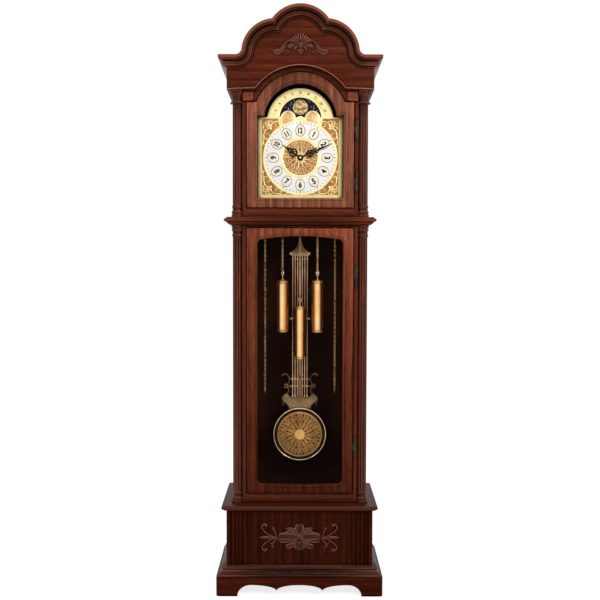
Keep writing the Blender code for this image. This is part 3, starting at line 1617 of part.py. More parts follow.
def weight_mesh(radius, length):
    """A brass cylinder between two drawn-in caps, with its hook's stem above; its top is at zero."""
    cap = weight["cap_height"]
    small = radius * weight["cap_radius_share"]
    edge = cap / 5
    stem = weight["hook_radius"]
    top = -weight["hook"]
    low = top - length
    profile = [
        (small - edge, low), (small, low + edge), (small, low + cap - edge), (radius, low + cap),
        (radius, top - cap), (small, top - cap + edge), (small, top - edge), (small - edge, top),
        (stem * 2, top + edge), (stem, top + edge * 3), (stem, 0),
    ]
    return turned(profile, weight["sides"])


def chain_mesh(x_weight, x_free, y, z_hook, z_free):
    """A chain from a weight's hook up over its chain wheel and down to its free end: a link wide
    one way, then a link wide the other."""
    middle = (x_weight + x_free) / 2
    radius = abs(x_free - x_weight) / 2
    side = 1 if x_free > x_weight else -1
    rise = Z_SPROCKET - z_hook
    turn = math.pi * radius
    total = rise + turn + Z_SPROCKET - z_free
    links = round(total / sprocket["link"])
    rings = []
    for i in range(links + 1):
        s = total * i / links
        if s < rise:
            at, out = (x_weight, z_hook + s), (-side, 0)
        elif s < rise + turn:
            a = math.pi - (s - rise) / radius
            out = (side * math.cos(a), math.sin(a))
            at = (middle + radius * out[0], Z_SPROCKET + radius * out[1])
        else:
            at, out = (x_free, Z_SPROCKET - (s - rise - turn)), (side, 0)
        wide, thin = sprocket["wide"], sprocket["thin"]
        across, deep = (wide, thin) if i % 2 else (thin, wide)
        ring = []
        for u, v in ((across, 0), (0, deep), (-across, 0), (0, -deep)):
            ring.append((at[0] + out[0] * u, y + v, at[1] + out[1] * u))
        rings.append(ring)
    return loft(rings)


def build_weights():
    far = SPROCKET_RADIUS * 2
    sets = [
        ("left", -CHAIN_SPREAD, -CHAIN_SPREAD - far, CHAIN_Y, ""),
        ("centre", 0, far, MIDDLE_CHAIN_Y, "middle_"),
        ("right", CHAIN_SPREAD, CHAIN_SPREAD + far, CHAIN_Y, ""),
    ]
    for name, x, x_free, y, size in sets:
        hook = Z_SPROCKET - weight[size + "drop"]
        mesh = weight_mesh(weight[size + "radius"], weight[size + "length"])
        body = node("weight_" + name, mesh, "brass", (x, y, hook), True)
        free = Z_SPROCKET - weight[size + "free_drop"]
        chain = chain_mesh(x, x_free, y, hook + CLEAR, free)
        chain = hinged("chain_" + name, chain, "brass", (x, y, hook))
        carrier("weight_axis_" + name, (x, y, hook), [body, chain])


def main():
    clear_scene()
    build_plinth()
    build_base()
    build_ledge()
    build_boards()
    build_face_frames()
    build_columns()
    build_waist()
    build_pediment()
    build_crown()
    leaves = build_hinges()
    trunk_pieces = build_door("trunk", trunk_door_edge, trunk_sight)
    hood_pieces = build_door("hood", hood_door_edge, hood_sight)
    carrier("trunk_door_axis", (HINGE_X, HINGE_Y, 0), trunk_pieces + leaves["trunk"])
    carrier("hood_door_axis", (HINGE_X, HINGE_Y, 0), hood_pieces + leaves["hood"])
    build_seat()
    build_plates()
    build_chain_wheels()
    build_centre_wheel()
    build_upper_wheels()
    hour_module = build_motion()
    build_hands(hour_module)
    build_dial()
    build_anchor()
    build_pendulum()
    build_weights()


main()
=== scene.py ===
# Longcase clock: the looks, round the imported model. Metres, front towards -Y, floor at z = 0
import math
import random
from math import cos, pi, radians, sin, sqrt, tau

import bmesh
import bpy
from mathutils import Matrix, Vector
from mathutils.geometry import tessellate_polygon


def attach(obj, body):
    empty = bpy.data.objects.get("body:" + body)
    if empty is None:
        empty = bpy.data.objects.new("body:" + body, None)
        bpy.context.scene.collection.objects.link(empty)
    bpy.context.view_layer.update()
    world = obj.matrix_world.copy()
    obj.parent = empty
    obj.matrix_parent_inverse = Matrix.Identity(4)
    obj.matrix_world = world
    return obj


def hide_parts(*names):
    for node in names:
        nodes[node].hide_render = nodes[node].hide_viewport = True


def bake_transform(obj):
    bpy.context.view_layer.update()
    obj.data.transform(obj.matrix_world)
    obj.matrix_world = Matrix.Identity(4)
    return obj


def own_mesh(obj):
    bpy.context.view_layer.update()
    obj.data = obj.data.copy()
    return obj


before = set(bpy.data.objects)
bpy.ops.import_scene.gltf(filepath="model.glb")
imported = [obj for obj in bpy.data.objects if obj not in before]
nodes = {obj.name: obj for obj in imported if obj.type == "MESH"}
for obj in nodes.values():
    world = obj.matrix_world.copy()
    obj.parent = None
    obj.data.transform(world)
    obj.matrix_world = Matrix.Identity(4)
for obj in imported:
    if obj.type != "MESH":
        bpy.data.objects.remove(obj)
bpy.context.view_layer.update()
scene = bpy.context.scene
dice = random.Random(11)

# Levels from the floor up and planes from the front back, as the model has them
z = {"skirt": 0.0626, "base": 0.283, "ledge": 0.3014, "trunk": 1.24, "waist": 1.2653, "hands": 1.4657,
     "arch": 1.585, "moon": 1.5955, "frieze": 1.6816, "roof": 1.7699, "crown": 1.7889, "bob": 0.502737}
y = {"front": -0.15, "box": -0.122, "frame": -0.1, "door": -0.105, "frameBack": -0.085,
     "boardBack": 0.142, "back": 0.15}
x = {"skirt": 0.27875, "base": 0.24565, "trunk": 0.227, "frieze": 0.2424, "column": 0.2105, "recess": 0.193,
     "side": 0.2205, "door": 0.17775, "dial": 0.1415}
clear = 0.0003


# Camera, lamps, floor and world
studio = {"lens": 45.72, "place": (-0.0002, -2.65, 1.1), "pitch": 0.0434, "roll": -0.0022,
          "sensor": 36, "worldLight": 0.42, "floorSize": 60.0, "floorShade": 0.5, "floorGlow": 0.8}
lampTable = [
    # name, place, aim, width, height, power
    ("keyLamp", (1.4, -1.9, 2.25), (0.0, 0.0, 1.35), 0.6, 1.2, 33),
    ("fillLamp", (-1.5, -1.9, 2.15), (0.0, 0.0, 1.35), 0.7, 1.3, 17),
    ("topLamp", (0.0, -0.9, 3.4), (0.0, 0.0, 1.4), 1.6, 1.2, 16),
]


def aimed(place, target):
    return (Vector(target) - Vector(place)).to_track_quat("-Z", "Y").to_euler()


def makeStudio():
    scene.view_settings.view_transform = "Standard"
    camera = bpy.data.objects.new("camera", bpy.data.cameras.new("camera"))
    scene.collection.objects.link(camera)
    camera.data.lens = studio["lens"]
    camera.data.sensor_width = studio["sensor"]
    camera.location = studio["place"]
    camera.rotation_euler = (pi / 2 - studio["pitch"], studio["roll"], 0)
    scene.camera = camera
    for name, place, target, width, height, power in lampTable:
        lamp = bpy.data.lights.new(name, "AREA")
        lamp.shape = "RECTANGLE"
        lamp.size, lamp.size_y, lamp.energy = width, height, power
        obj = bpy.data.objects.new(name, lamp)
        obj.location, obj.rotation_euler = place, aimed(place, target)
        scene.collection.objects.link(obj)
    world = bpy.data.worlds.new("paleRoom")
    scene.world = world
    world.use_nodes = True
    tree = world.node_tree
    light = put(tree, "LightPath")
    seen = mathStep(tree, "MAXIMUM", light, "Is Camera Ray")
    join(tree, light, "Is Glossy Ray", seen, 1)
    visible = mathStep(tree, "MAXIMUM", seen, 0)
    join(tree, light, "Is Transmission Ray", visible, 1)
    strength = stretched(tree, visible, 0, studio["worldLight"], 1.0)
    background = tree.nodes["Background"]
    background.inputs["Color"].default_value = (1, 1, 1, 1)
    join(tree, strength, "Result", background, "Strength")
    floor, tree, shader = newMaterial("paleFloor")
    tree.nodes.remove(shader)
    matte = put(tree, "BsdfDiffuse", Color=(*[studio["floorShade"]] * 3, 1))
    glow = put(tree, "Emission", Color=(1, 1, 1, 1), Strength=studio["floorGlow"])
    added = put(tree, "AddShader")
    join(tree, matte, 0, added, 0)
    join(tree, glow, 0, added, 1)
    light = put(tree, "LightPath")
    choice = put(tree, "MixShader")
    join(tree, light, "Is Diffuse Ray", choice, 0)
    join(tree, added, 0, choice, 1)
    join(tree, matte, 0, choice, 2)
    join(tree, choice, 0, tree.nodes["Material Output"], "Surface")
    half = studio["floorSize"] / 2
    mesh = bpy.data.meshes.new("floor")
    mesh.from_pydata([(-half, -half, 0), (half, -half, 0), (half, half, 0), (-half, half, 0)], [],
                     [(0, 1, 2, 3)])
    mesh.materials.append(floor)
    obj = bpy.data.objects.new("floor", mesh)
    scene.collection.objects.link(obj)
    print("studio ready")


# Material helpers
def newMaterial(name):
    material = bpy.data.materials.new(name)
    material.use_nodes = True
    return material, material.node_tree, material.node_tree.nodes["Principled BSDF"]


def put(tree, kind, **values):
    step = tree.nodes.new("ShaderNode" + kind)
    for key, value in values.items():
        if key in step.inputs.keys():
            step.inputs[key].default_value = value
        else:
            setattr(step, key, value)
    return step


def join(tree, source, output, target, entry):
    tree.links.new(source.outputs[output], target.inputs[entry])


def mathStep(tree, operation, source, output, other=None):
    # the other value is a number or a further step
    step = put(tree, "Math", operation=operation)
    join(tree, source, output, step, 0)
    if isinstance(other, float):
        step.inputs[1].default_value = other
    elif other:
        join(tree, other, 0, step, 1)
    return step


def stretched(tree, source, output, first, last, start=0.0, end=1.0):
    step = put(tree, "MapRange", **{"From Min": start, "From Max": end, "To Min": first, "To Max": last})
    join(tree, source, output, step, "Value")
    return step


def multiplied(tree, source, output, tint, tintOutput=0, share=1.0):
    step = put(tree, "Mix", data_type="RGBA", blend_type="MULTIPLY")
    step.inputs[0].default_value = share
    join(tree, source, output, step, 6)
    join(tree, tint, tintOutput, step, 7)
    return step


def ramp(tree, source, output, stops):
    step = put(tree, "ValToRGB")
    join(tree, source, output, step, 0)
    band = step.color_ramp
    while len(band.elements) < len(stops):
        band.elements.new(0.5)
    for element, (place, colour) in zip(band.elements, stops):
        element.position = place
        element.color = (*colour, 1)
    return step


def grey(value):
    return (value, value, value)


def scaled(colour, factor):
    return tuple(min(1.0, c * factor) for c in colour)


# Wood: tones from the pores up, and where a frame's rails lie between its stiles
woodLook = {"figure": 2.6, "growth": 8.0, "streak": 24.0, "fine": 60.0, "pore": 150.0, "across": 13.0,
            "roughness": 0.36, "duller": 0.12, "bump": 0.22, "bumpDepth": 0.0005, "shadeReach": 0.011,
            "gloss": (1.0, 0.58, 0.46)}
# the tones follow each part's brightness under the lamps: the base, skirt and ledge are darker partly by
# their own wood and partly by painted shade, as less light falls low down
woodTones = {
    "hoodDoor": ((0.07, 0.019, 0.0095), (0.23, 0.072, 0.038), (0.37, 0.13, 0.076), 0.07),
    "trunkDoor": ((0.05, 0.0095, 0.0038), (0.21, 0.049, 0.022), (0.33, 0.085, 0.042), 0.07),
    "frieze": ((0.032, 0.005, 0.0019), (0.082, 0.0145, 0.0058), (0.128, 0.027, 0.012), 0.05),
    "case": ((0.024, 0.0045, 0.0018), (0.105, 0.0215, 0.0095), (0.165, 0.037, 0.017), 0.07),
    "moulding": ((0.013, 0.0026, 0.001), (0.058, 0.0112, 0.0044), (0.13, 0.029, 0.0125), 0.07),
    "bead": ((0.02, 0.0046, 0.0028), (0.066, 0.016, 0.01), (0.17, 0.056, 0.04), 0.55),
    "column": ((0.01, 0.0021, 0.001), (0.058, 0.0114, 0.0052), (0.165, 0.046, 0.027), 0.2),
    "base": ((0.014, 0.0021, 0.0007), (0.042, 0.007, 0.0025), (0.07, 0.013, 0.005), 0.03),
    "ledge": ((0.004, 0.0007, 0.0003), (0.015, 0.0026, 0.0011), (0.06, 0.015, 0.0088), 0.08),
    "skirt": ((0.02, 0.0026, 0.0008), (0.06, 0.008, 0.0024), (0.095, 0.016, 0.006), 0.03),
    "plinth": ((0.005, 0.0012, 0.0006), (0.017, 0.0038, 0.002), (0.105, 0.036, 0.024), 0.1),
    "crown": ((0.009, 0.0015, 0.0005), (0.038, 0.0062, 0.002), (0.125, 0.036, 0.019), 0.15),
    "inner": ((0.003, 0.001, 0.0005), (0.014, 0.0038, 0.0018), (0.038, 0.011, 0.0055), 0.01),
    "carved": ((0.005, 0.0012, 0.0006), (0.026, 0.0056, 0.0027), (0.19, 0.07, 0.046), 0.26),
    "staff": ((0.09, 0.038, 0.017), (0.23, 0.1, 0.047), (0.36, 0.18, 0.09), 0.2),
}
axisScale = {"X": (1, 0, 0), "Z": (0, 0, 1), "path": (1, 0, 0)}
bandsAcross = {"X": "Z", "Z": "X", "path": "Y"}


def grainSpace(tree, along, shift):
    coords = put(tree, "TexCoord")
    across = woodLook["across"]
    space = put(tree, "Mapping")
    space.inputs["Scale"].default_value = [1 if keep else across for keep in axisScale[along]]
    space.inputs["Location"].default_value = shift
    join(tree, coords, "UV" if along == "path" else "Object", space, "Vector")
    return space


def railMask(tree, rails):
    half, low, high = rails
    split = put(tree, "SeparateXYZ")
    join(tree, put(tree, "TexCoord"), "Object", split, 0)
    within = mathStep(tree, "LESS_THAN", mathStep(tree, "ABSOLUTE", split, "X"), 0, half)
    away = mathStep(tree, "ABSOLUTE", mathStep(tree, "SUBTRACT", split, "Z", (low + high) / 2), 0)
    beyond = mathStep(tree, "GREATER_THAN", away, 0, (high - low) / 2)
    return mathStep(tree, "MULTIPLY", within, 0, beyond)


def woodPattern(tree, along, shift):
    space = grainSpace(tree, along, shift)
    figure = put(tree, "TexNoise", Scale=woodLook["figure"], Detail=3.0, Roughness=0.55, Distortion=0.6)
    growth = put(tree, "TexNoise", Scale=woodLook["growth"], Detail=5.0, Roughness=0.62, Distortion=0.35)
    streak = put(tree, "TexNoise", Scale=woodLook["streak"], Detail=3.0, Roughness=0.6)
    fine = put(tree, "TexNoise", Scale=woodLook["fine"], Detail=2.0, Roughness=0.6)
    rings = put(tree, "TexWave", Scale=0.9, Distortion=7.5, Detail=3.0,
                bands_direction=bandsAcross[along], wave_profile="SAW")
    rings.inputs["Detail Scale"].default_value = 0.9
    for step in (figure, growth, streak, fine, rings):
        join(tree, space, 0, step, "Vector")
    total = None
    for step, share in ((figure, 0.2), (growth, 0.25), (streak, 0.28), (fine, 0.15), (rings, 0.12)):
        part = mathStep(tree, "MULTIPLY", step, "Fac", share)
        total = mathStep(tree, "ADD", total, 0, part) if total else part
    return space, total


def makeWood(name, tones, along, rails=None, roughness=woodLook["roughness"], wornAndHighlit=0.0, lightFall=None,
             ridge=(0.505, 0.57)):
    material, tree, shader = newMaterial(name)
    deep, middle, light, specular = woodTones[tones]
    shift = [dice.uniform(-3, 3) for _ in range(3)]
    space, pattern = woodPattern(tree, along, shift)
    value = pattern
    if rails:
        other = "X" if along == "Z" else "Z"
        _, crossed = woodPattern(tree, other, [dice.uniform(-3, 3) for _ in range(3)])
        mask = railMask(tree, rails)
        choice = put(tree, "Mix", data_type="FLOAT")
        join(tree, mask, 0, choice, 0)
        join(tree, pattern, 0, choice, 2)
        join(tree, crossed, 0, choice, 3)
        value = choice
    colour = ramp(tree, value, 0, [(0.37, deep), (0.45, scaled(middle, 0.75)), (0.52, middle), (0.62, light)])
    pores = put(tree, "TexNoise", Scale=woodLook["pore"], Detail=2.0, Roughness=0.7)
    join(tree, space, 0, pores, "Vector")
    poreBand = ramp(tree, pores, "Fac", [(0.36, grey(0.45)), (0.46, grey(1.0))])
    painted = multiplied(tree, colour, 0, poreBand, share=0.8)
    # painted shade in the hollows, and painted shade where pieces meet, by ambient occlusion
    edges = put(tree, "NewGeometry")
    hollow = ramp(tree, edges, "Pointiness", [(0.44, grey(0.3)), (0.5, grey(1.0))])
    shaded = multiplied(tree, painted, 2, hollow)
    corner = put(tree, "AmbientOcclusion", samples=8, Distance=woodLook["shadeReach"])
    cornerShade = ramp(tree, corner, "AO", [(0.45, grey(0.1)), (0.95, grey(1.0))])
    paintedShading = multiplied(tree, shaded, 2, cornerShade)
    if lightFall:
        # painted light and shade: a tall door doesn't take the light evenly, so the colour changes with
        # height
        start, end, first, last = lightFall
        height = put(tree, "SeparateXYZ")
        join(tree, put(tree, "TexCoord"), "Object", height, 0)
        share = stretched(tree, height, "Z", 0.0, 1.0, start, end)
        tint = put(tree, "Mix", data_type="RGBA")
        join(tree, share, "Result", tint, 0)
        tint.inputs[6].default_value = (*first, 1)
        tint.inputs[7].default_value = (*last, 1)
        paintedShading = multiplied(tree, paintedShading, 2, tint, 2)
    # polish rubbed through on the edges, and a painted highlight along the ridges
    edge = ramp(tree, edges, "Pointiness", [(ridge[0], grey(0.0)), (ridge[1], grey(wornAndHighlit))])
    rubbedAndHighlit = put(tree, "Mix", data_type="RGBA", blend_type="MIX")
    join(tree, edge, 0, rubbedAndHighlit, 0)
    join(tree, paintedShading, 2, rubbedAndHighlit, 6)
    rubbedAndHighlit.inputs[7].default_value = (*scaled(light, 1.5), 1)
    join(tree, rubbedAndHighlit, 2, shader, "Base Color")
    rough = stretched(tree, poreBand, 0, roughness + woodLook["duller"], roughness)
    join(tree, rough, "Result", shader, "Roughness")
    bump = put(tree, "Bump", Strength=woodLook["bump"], Distance=woodLook["bumpDepth"])
    join(tree, poreBand, 0, bump, "Height")
    join(tree, bump, "Normal", shader, "Normal")
    shader.inputs["Specular IOR Level"].default_value = specular
    shader.inputs["Specular Tint"].default_value = (*woodLook["gloss"], 1)
    return material


# Metals: base colour, darker colour in the clouded parts, roughness, and how much of it is bare metal
metalLook = {
    "brassPolished": ((1.0, 0.74, 0.38), (0.94, 0.6, 0.26), 0.17, 0.93),
    "brassChain": ((0.9, 0.58, 0.28), (0.46, 0.26, 0.105), 0.26, 0.9),
    "brassWorks": ((0.66, 0.46, 0.19), (0.4, 0.25, 0.09), 0.3, 1.0),
    "brassCaps": ((0.9, 0.56, 0.24), (0.48, 0.25, 0.085), 0.26, 0.85),
    "hookBrass": ((0.9, 0.68, 0.42), (0.5, 0.32, 0.15), 0.25, 0.85),
    "hingeBrass": ((0.075, 0.045, 0.03), (0.022, 0.013, 0.009), 0.34, 1.0),
    "dialGold": ((1.0, 0.88, 0.46), (0.94, 0.72, 0.3), 0.3, 0.72),
    "ornamentGold": ((1.0, 0.82, 0.42), (0.86, 0.58, 0.24), 0.32, 0.92),
    "mattedGold": ((0.46, 0.24, 0.07), (0.22, 0.095, 0.025), 0.5, 0.75),
    "peachGold": ((0.44, 0.23, 0.085), (0.24, 0.105, 0.035), 0.5, 0.75),
    "globeGold": ((0.98, 0.7, 0.38), (0.72, 0.42, 0.18), 0.36, 0.75),
    "ovalGold": ((0.56, 0.42, 0.11), (0.26, 0.15, 0.045), 0.36, 0.75),
    "oldGold": ((0.52, 0.34, 0.15), (0.22, 0.12, 0.045), 0.3, 0.85),
    "lyreGold": ((0.24, 0.155, 0.072), (0.11, 0.066, 0.028), 0.28, 0.95),
    "rodGold": ((0.92, 0.62, 0.42), (0.62, 0.36, 0.2), 0.24, 0.85),
    "rimSilver": ((0.7, 0.55, 0.38), (0.4, 0.27, 0.15), 0.08, 1.0),
    "bobGold": ((0.36, 0.175, 0.052), (0.2, 0.088, 0.025), 0.36, 0.85),
    "bobPlain": ((0.7, 0.42, 0.13), (0.5, 0.28, 0.075), 0.34, 0.85),
    "bobShadow": ((0.03, 0.014, 0.006), (0.012, 0.005, 0.002), 0.5, 0.9),
    "steelGrey": ((0.5, 0.49, 0.47), (0.26, 0.25, 0.24), 0.32, 1.0),
}


metalSkin = {"cloud": 26.0, "fine": 960.0, "tarnish": (0.34, 0.69), "bump": 0.08, "bumpDepth": 0.0002}


def makeMetal(name, shadeAcross=None):
    bright, dark, roughness, bare = metalLook[name]
    material, tree, shader = newMaterial(name)
    coords = put(tree, "TexCoord")
    cloud = put(tree, "TexNoise", Scale=metalSkin["cloud"], Detail=5.0, Roughness=0.6)
    fine = put(tree, "TexNoise", Scale=metalSkin["fine"], Detail=2.0, Roughness=0.5)
    join(tree, coords, "Object", cloud, "Vector")
    join(tree, coords, "Object", fine, "Vector")
    shade = ramp(tree, cloud, "Fac", list(zip(metalSkin["tarnish"], (dark, bright))))
    edges = put(tree, "NewGeometry")
    hollow = ramp(tree, edges, "Pointiness", [(0.4, grey(0.45)), (0.5, grey(1.0))])
    painted = multiplied(tree, shade, 0, hollow)
    if shadeAcross:
        # painted shade: the colour darkens towards the left and right sides of a round shell, by the
        # surface's direction in the world, in place of dark reflections
        facing = put(tree, "SeparateXYZ")
        join(tree, edges, "Normal", facing, 0)
        place = stretched(tree, facing, "X", 0.0, 1.0, -1.0, 1.0)
        painted = multiplied(tree, painted, 2, ramp(tree, place, "Result", shadeAcross))
    join(tree, painted, 2, shader, "Base Color")
    shader.inputs["Metallic"].default_value = bare
    rough = stretched(tree, cloud, "Fac", roughness * 0.8, roughness * 1.35)
    join(tree, rough, "Result", shader, "Roughness")
    bump = put(tree, "Bump", Strength=metalSkin["bump"], Distance=metalSkin["bumpDepth"])
    join(tree, fine, "Fac", bump, "Height")
    join(tree, bump, "Normal", shader, "Normal")
    return material


def makeEnamel(name, colour, spots, roughness=0.35, specular=0.35, scale=60.0, stops=(0.35, 0.62)):
    material, tree, shader = newMaterial(name)
    coords = put(tree, "TexCoord")
    cloud = put(tree, "TexNoise", Scale=scale, Detail=4.0, Roughness=0.6)
    join(tree, coords, "Object", cloud, "Vector")
    shade = ramp(tree, cloud, "Fac", [(stops[0], spots), (stops[1], colour)])
    join(tree, shade, 0, shader, "Base Color")
    rough = stretched(tree, cloud, "Fac", roughness, roughness * 1.4)
    join(tree, rough, "Result", shader, "Roughness")
    shader.inputs["Specular IOR Level"].default_value = specular
    return material


def makeGlass():
    material, tree, shader = newMaterial("clearGlass")
    shader.inputs["Base Color"].default_value = (0.02, 0.03, 0.03, 1)
    shader.inputs["Roughness"].default_value = 0.03
    shader.inputs["Specular IOR Level"].default_value = 0.5
    facing = put(tree, "LayerWeight", Blend=0.25)
    smears = put(tree, "TexNoise", Scale=5.0, Detail=4.0)
    coords = put(tree, "TexCoord")
    join(tree, coords, "Object", smears, "Vector")
    veil = stretched(tree, smears, "Fac", 0.0, 0.008)
    share = mathStep(tree, "MULTIPLY_ADD", facing, "Fresnel", 0.3)
    join(tree, veil, "Result", share, 2)
    join(tree, share, 0, shader, "Alpha")
    return material


# Mesh helpers: every mesh is made in the model's own frame
def meshFrom(bm, name):
    bmesh.ops.recalc_face_normals(bm, faces=bm.faces)
    mesh = bpy.data.meshes.new(name)
    bm.to_mesh(mesh)
    bm.free()
    return mesh


def placed(name, mesh, material, body, replaced=(), smooth=38):
    obj = bpy.data.objects.new(name, mesh)
    scene.collection.objects.link(obj)
    if material is not None:
        mesh.materials.clear()
        mesh.materials.append(material)
    if smooth:
        mesh.shade_smooth()
        mesh.set_sharp_from_angle(angle=radians(smooth))
    if body:
        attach(obj, body)
    if replaced:
        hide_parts(*replaced)
    return obj


def withModifiers(mesh, steps):
    obj = bpy.data.objects.new("working", mesh)
    scene.collection.objects.link(obj)
    helpers = []
    for kind, settings in steps:
        step = obj.modifiers.new(kind.lower(), kind)
        for key, value in settings.items():
            if key == "object":
                cutter = bpy.data.objects.new("cutter", value)
                scene.collection.objects.link(cutter)
                helpers.append(cutter)
                value = cutter
            setattr(step, key, value)
    graph = bpy.context.evaluated_depsgraph_get()
    made = bpy.data.meshes.new_from_object(obj.evaluated_get(graph))
    for spare in [obj, *helpers]:
        bpy.data.objects.remove(spare)
    return made


def softened(mesh, width):
    return withModifiers(mesh, [("BEVEL", {"width": width, "segments": 2, "limit_method": "ANGLE",
                                           "angle_limit": radians(30), "use_clamp_overlap": True})])


def cutBy(mesh, cutters):
    return withModifiers(mesh, [("BOOLEAN", {"operation": "DIFFERENCE", "solver": "EXACT", "object": cutter})
                                for cutter in cutters])


def joined(meshes):
    bm = bmesh.new()
    for mesh in meshes:
        bm.from_mesh(mesh)
    made = bpy.data.meshes.new("joined")
    bm.to_mesh(made)
    bm.free()
    return made


def mirroredPoints(points):
    return list(points) + [(-px, pz) for px, pz in reversed(points) if abs(px) > 1e-9]


def polar(centre, radius, angle):
    return (centre[0] + radius * cos(angle), centre[1] + radius * sin(angle))


def arc(centre, radius, start, end, count):
    step = (end - start) / (count - 1)
    return [polar(centre, radius, start + step * i) for i in range(count)]


def circle(radius, count, centre=(0, 0)):
    return arc(centre, radius, 0, tau, count + 1)[:-1]


def mm(points):
    # some tables give their points in millimetres
    return [(px / 1000, py / 1000) for px, py in points]


def rounded(points, closed=True, steps=6):
    made = []
    count = len(points)
    spans = count if closed else count - 1
    for i in range(spans):
        a, b, c, d = (Vector(points[(i + k) % count] if closed else points[min(max(i + k, 0), count - 1)])
                      for k in (-1, 0, 1, 2))
        for k in range(steps):
            t = k / steps
            made.append(tuple(0.5 * (2 * b + (c - a) * t + (2 * a - 5 * b + 4 * c - d) * t * t
                                     + (3 * b - a - 3 * c + d) * t ** 3)))
    if not closed:
        made.append(tuple(points[-1]))
    return made


toWorld = {
    "Y": Matrix(((1, 0, 0, 0), (0, 0, -1, 0), (0, 1, 0, 0), (0, 0, 0, 1))),
    "Z": Matrix.Identity(4),
    "X": Matrix(((0, 0, 1, 0), (1, 0, 0, 0), (0, 1, 0, 0), (0, 0, 0, 1))),
}


def plate(loops, near, far, edge=0.0, axis="Y", steps=1):
    curve = bpy.data.curves.new("plate", "CURVE")
    curve.dimensions = "2D"
    curve.fill_mode = "BOTH"
    curve.extrude = (far - near) / 2 - edge
    curve.bevel_depth, curve.bevel_resolution, curve.offset = edge, steps, -edge
    for loop in loops:
        spline = curve.splines.new("POLY")
        spline.points.add(len(loop) - 1)
        for point, (px, py) in zip(spline.points, loop):
            point.co = (px, py, 0, 1)
        spline.use_cyclic_u = True
    obj = bpy.data.objects.new("plate", curve)
    mesh = bpy.data.meshes.new_from_object(obj)
    bpy.data.objects.remove(obj)
    middle = (near + far) / 2
    offset = {"Y": (0, middle, 0), "Z": (0, 0, middle), "X": (middle, 0, 0)}[axis]
    mesh.transform(Matrix.Translation(offset) @ toWorld[axis])
    bm = bmesh.new()
    bm.from_mesh(mesh)
    bmesh.ops.remove_doubles(bm, verts=bm.verts, dist=1e-6)
    return meshFrom(bm, "plate")


def boxMesh(left, right, near, far, low, high, edge=0.0):
    return plate([[(left, low), (right, low), (right, high), (left, high)]], near, far, edge)


def lofted(rings, caps=True, loop=False):
    bm = bmesh.new()
    layer = bm.loops.layers.uv.new("UVMap")
    made = [[bm.verts.new(p) for p in ring] for ring in rings]
    along = [0.0]
    for ring, far in zip(rings, rings[1:]):
        gaps = [(Vector(a) - Vector(b)).length for a, b in zip(ring, far)]
        along.append(along[-1] + sum(gaps) / len(gaps))
    count = len(rings[0])
    around = [0.0]
    for i in range(count):
        around.append(around[-1] + (Vector(rings[0][i]) - Vector(rings[0][(i + 1) % count])).length)
    pairs = list(range(len(rings) - 1)) + ([len(rings) - 1] if loop else [])
    for k in pairs:
        ring, far = made[k], made[(k + 1) % len(rings)]
        end = along[k + 1] if k + 1 < len(rings) else along[k]
        for i in range(count):
            j = (i + 1) % count
            face = bm.faces.new((ring[i], ring[j], far[j], far[i]))
            for corner, uv in zip(face.loops, ((along[k], around[i]), (along[k], around[i + 1]),
                                               (end, around[i + 1]), (end, around[i]))):
                corner[layer].uv = uv
    if caps and not loop:
        for ring in (made[0], made[-1]):
            face = bm.faces.new(ring)
            for corner in face.loops:
                corner[layer].uv = (corner.vert.co.y, corner.vert.co.z)
    return meshFrom(bm, "loft")


def turned(profile, count, centre=(0, 0, 0), axis="Z"):
    rings = []
    for radius, at in profile:
        ring = []
        for cx, cy in circle(max(radius, 1e-5), count):
            ring.append((cx, cy, at) if axis == "Z" else (cx, at, cy))
        rings.append([tuple(Vector(p) + Vector(centre)) for p in ring])
    return lofted(rings)


def bulged(points, steps=5):
    # each point is (out, up) in percent, and a third number rounds the stretch that leads to it
    made = []
    for out, up, *rest in points:
        bx, bz, bulge = out / 100, up / 100, sum(rest) / 100
        if bulge:
            ax, az = made[-1]
            dx, dz = bx - ax, bz - az
            for k in range(1, steps):
                t = k / steps
                sag = bulge * 4 * t * (1 - t)
                made.append((ax + dx * t + dz * sag, az + dz * t - dx * sag))
        made.append((bx, bz))
    return made


def wrapped(profile, half, front, sideOut, frontOut, back, innerX, innerY, low, height):
    rings = []
    for side, atBack in ((-1, True), (-1, False), (1, False), (1, True)):
        ring = []
        for out, up in profile:
            ring.append((side * (half + sideOut * out), back if atBack else front - frontOut * out,
                         low + height * up))
        for up in (profile[-1][1], profile[0][1]):
            ring.append((side * innerX, back if atBack else innerY, low + height * up))
        rings.append(ring)
    # closer rings along each run keep the edges even
    full = []
    for a, b in zip(rings, rings[1:]):
        for k in range(6):
            full.append([tuple(Vector(p).lerp(Vector(q), k / 6)) for p, q in zip(a, b)])
    return lofted(full + [rings[-1]])


# Plinth: a skirt with three arches, and a moulding above it
plinth = {"wall": 0.016, "corner": 0.012, "foot": 0.0713, "sideFoot": 0.062, "archRise": 0.0385,
          "cuspRise": 0.019, "cuspShare": 0.37, "apexShare": 0.78, "edge": 0.0012,
          "mouldingRise": 0.0334, "sideOut": 0.0281, "frontOut": 0.023,
          "profile": [(94, 0), (100, 6, 20), (100, 17), (90, 24, 30), (84, 25), (82, 32), (60, 52, -16),
                      (47, 68, 12), (47, 72), (56, 76), (56, 86, 45), (42, 90), (12, 100)]}


def quarter(foot, top, count):
    return [(top[0] + (foot[0] - top[0]) * cos(pi / 2 * i / (count - 1)),
             foot[1] + (top[1] - foot[1]) * sin(pi / 2 * i / (count - 1))) for i in range(count)]


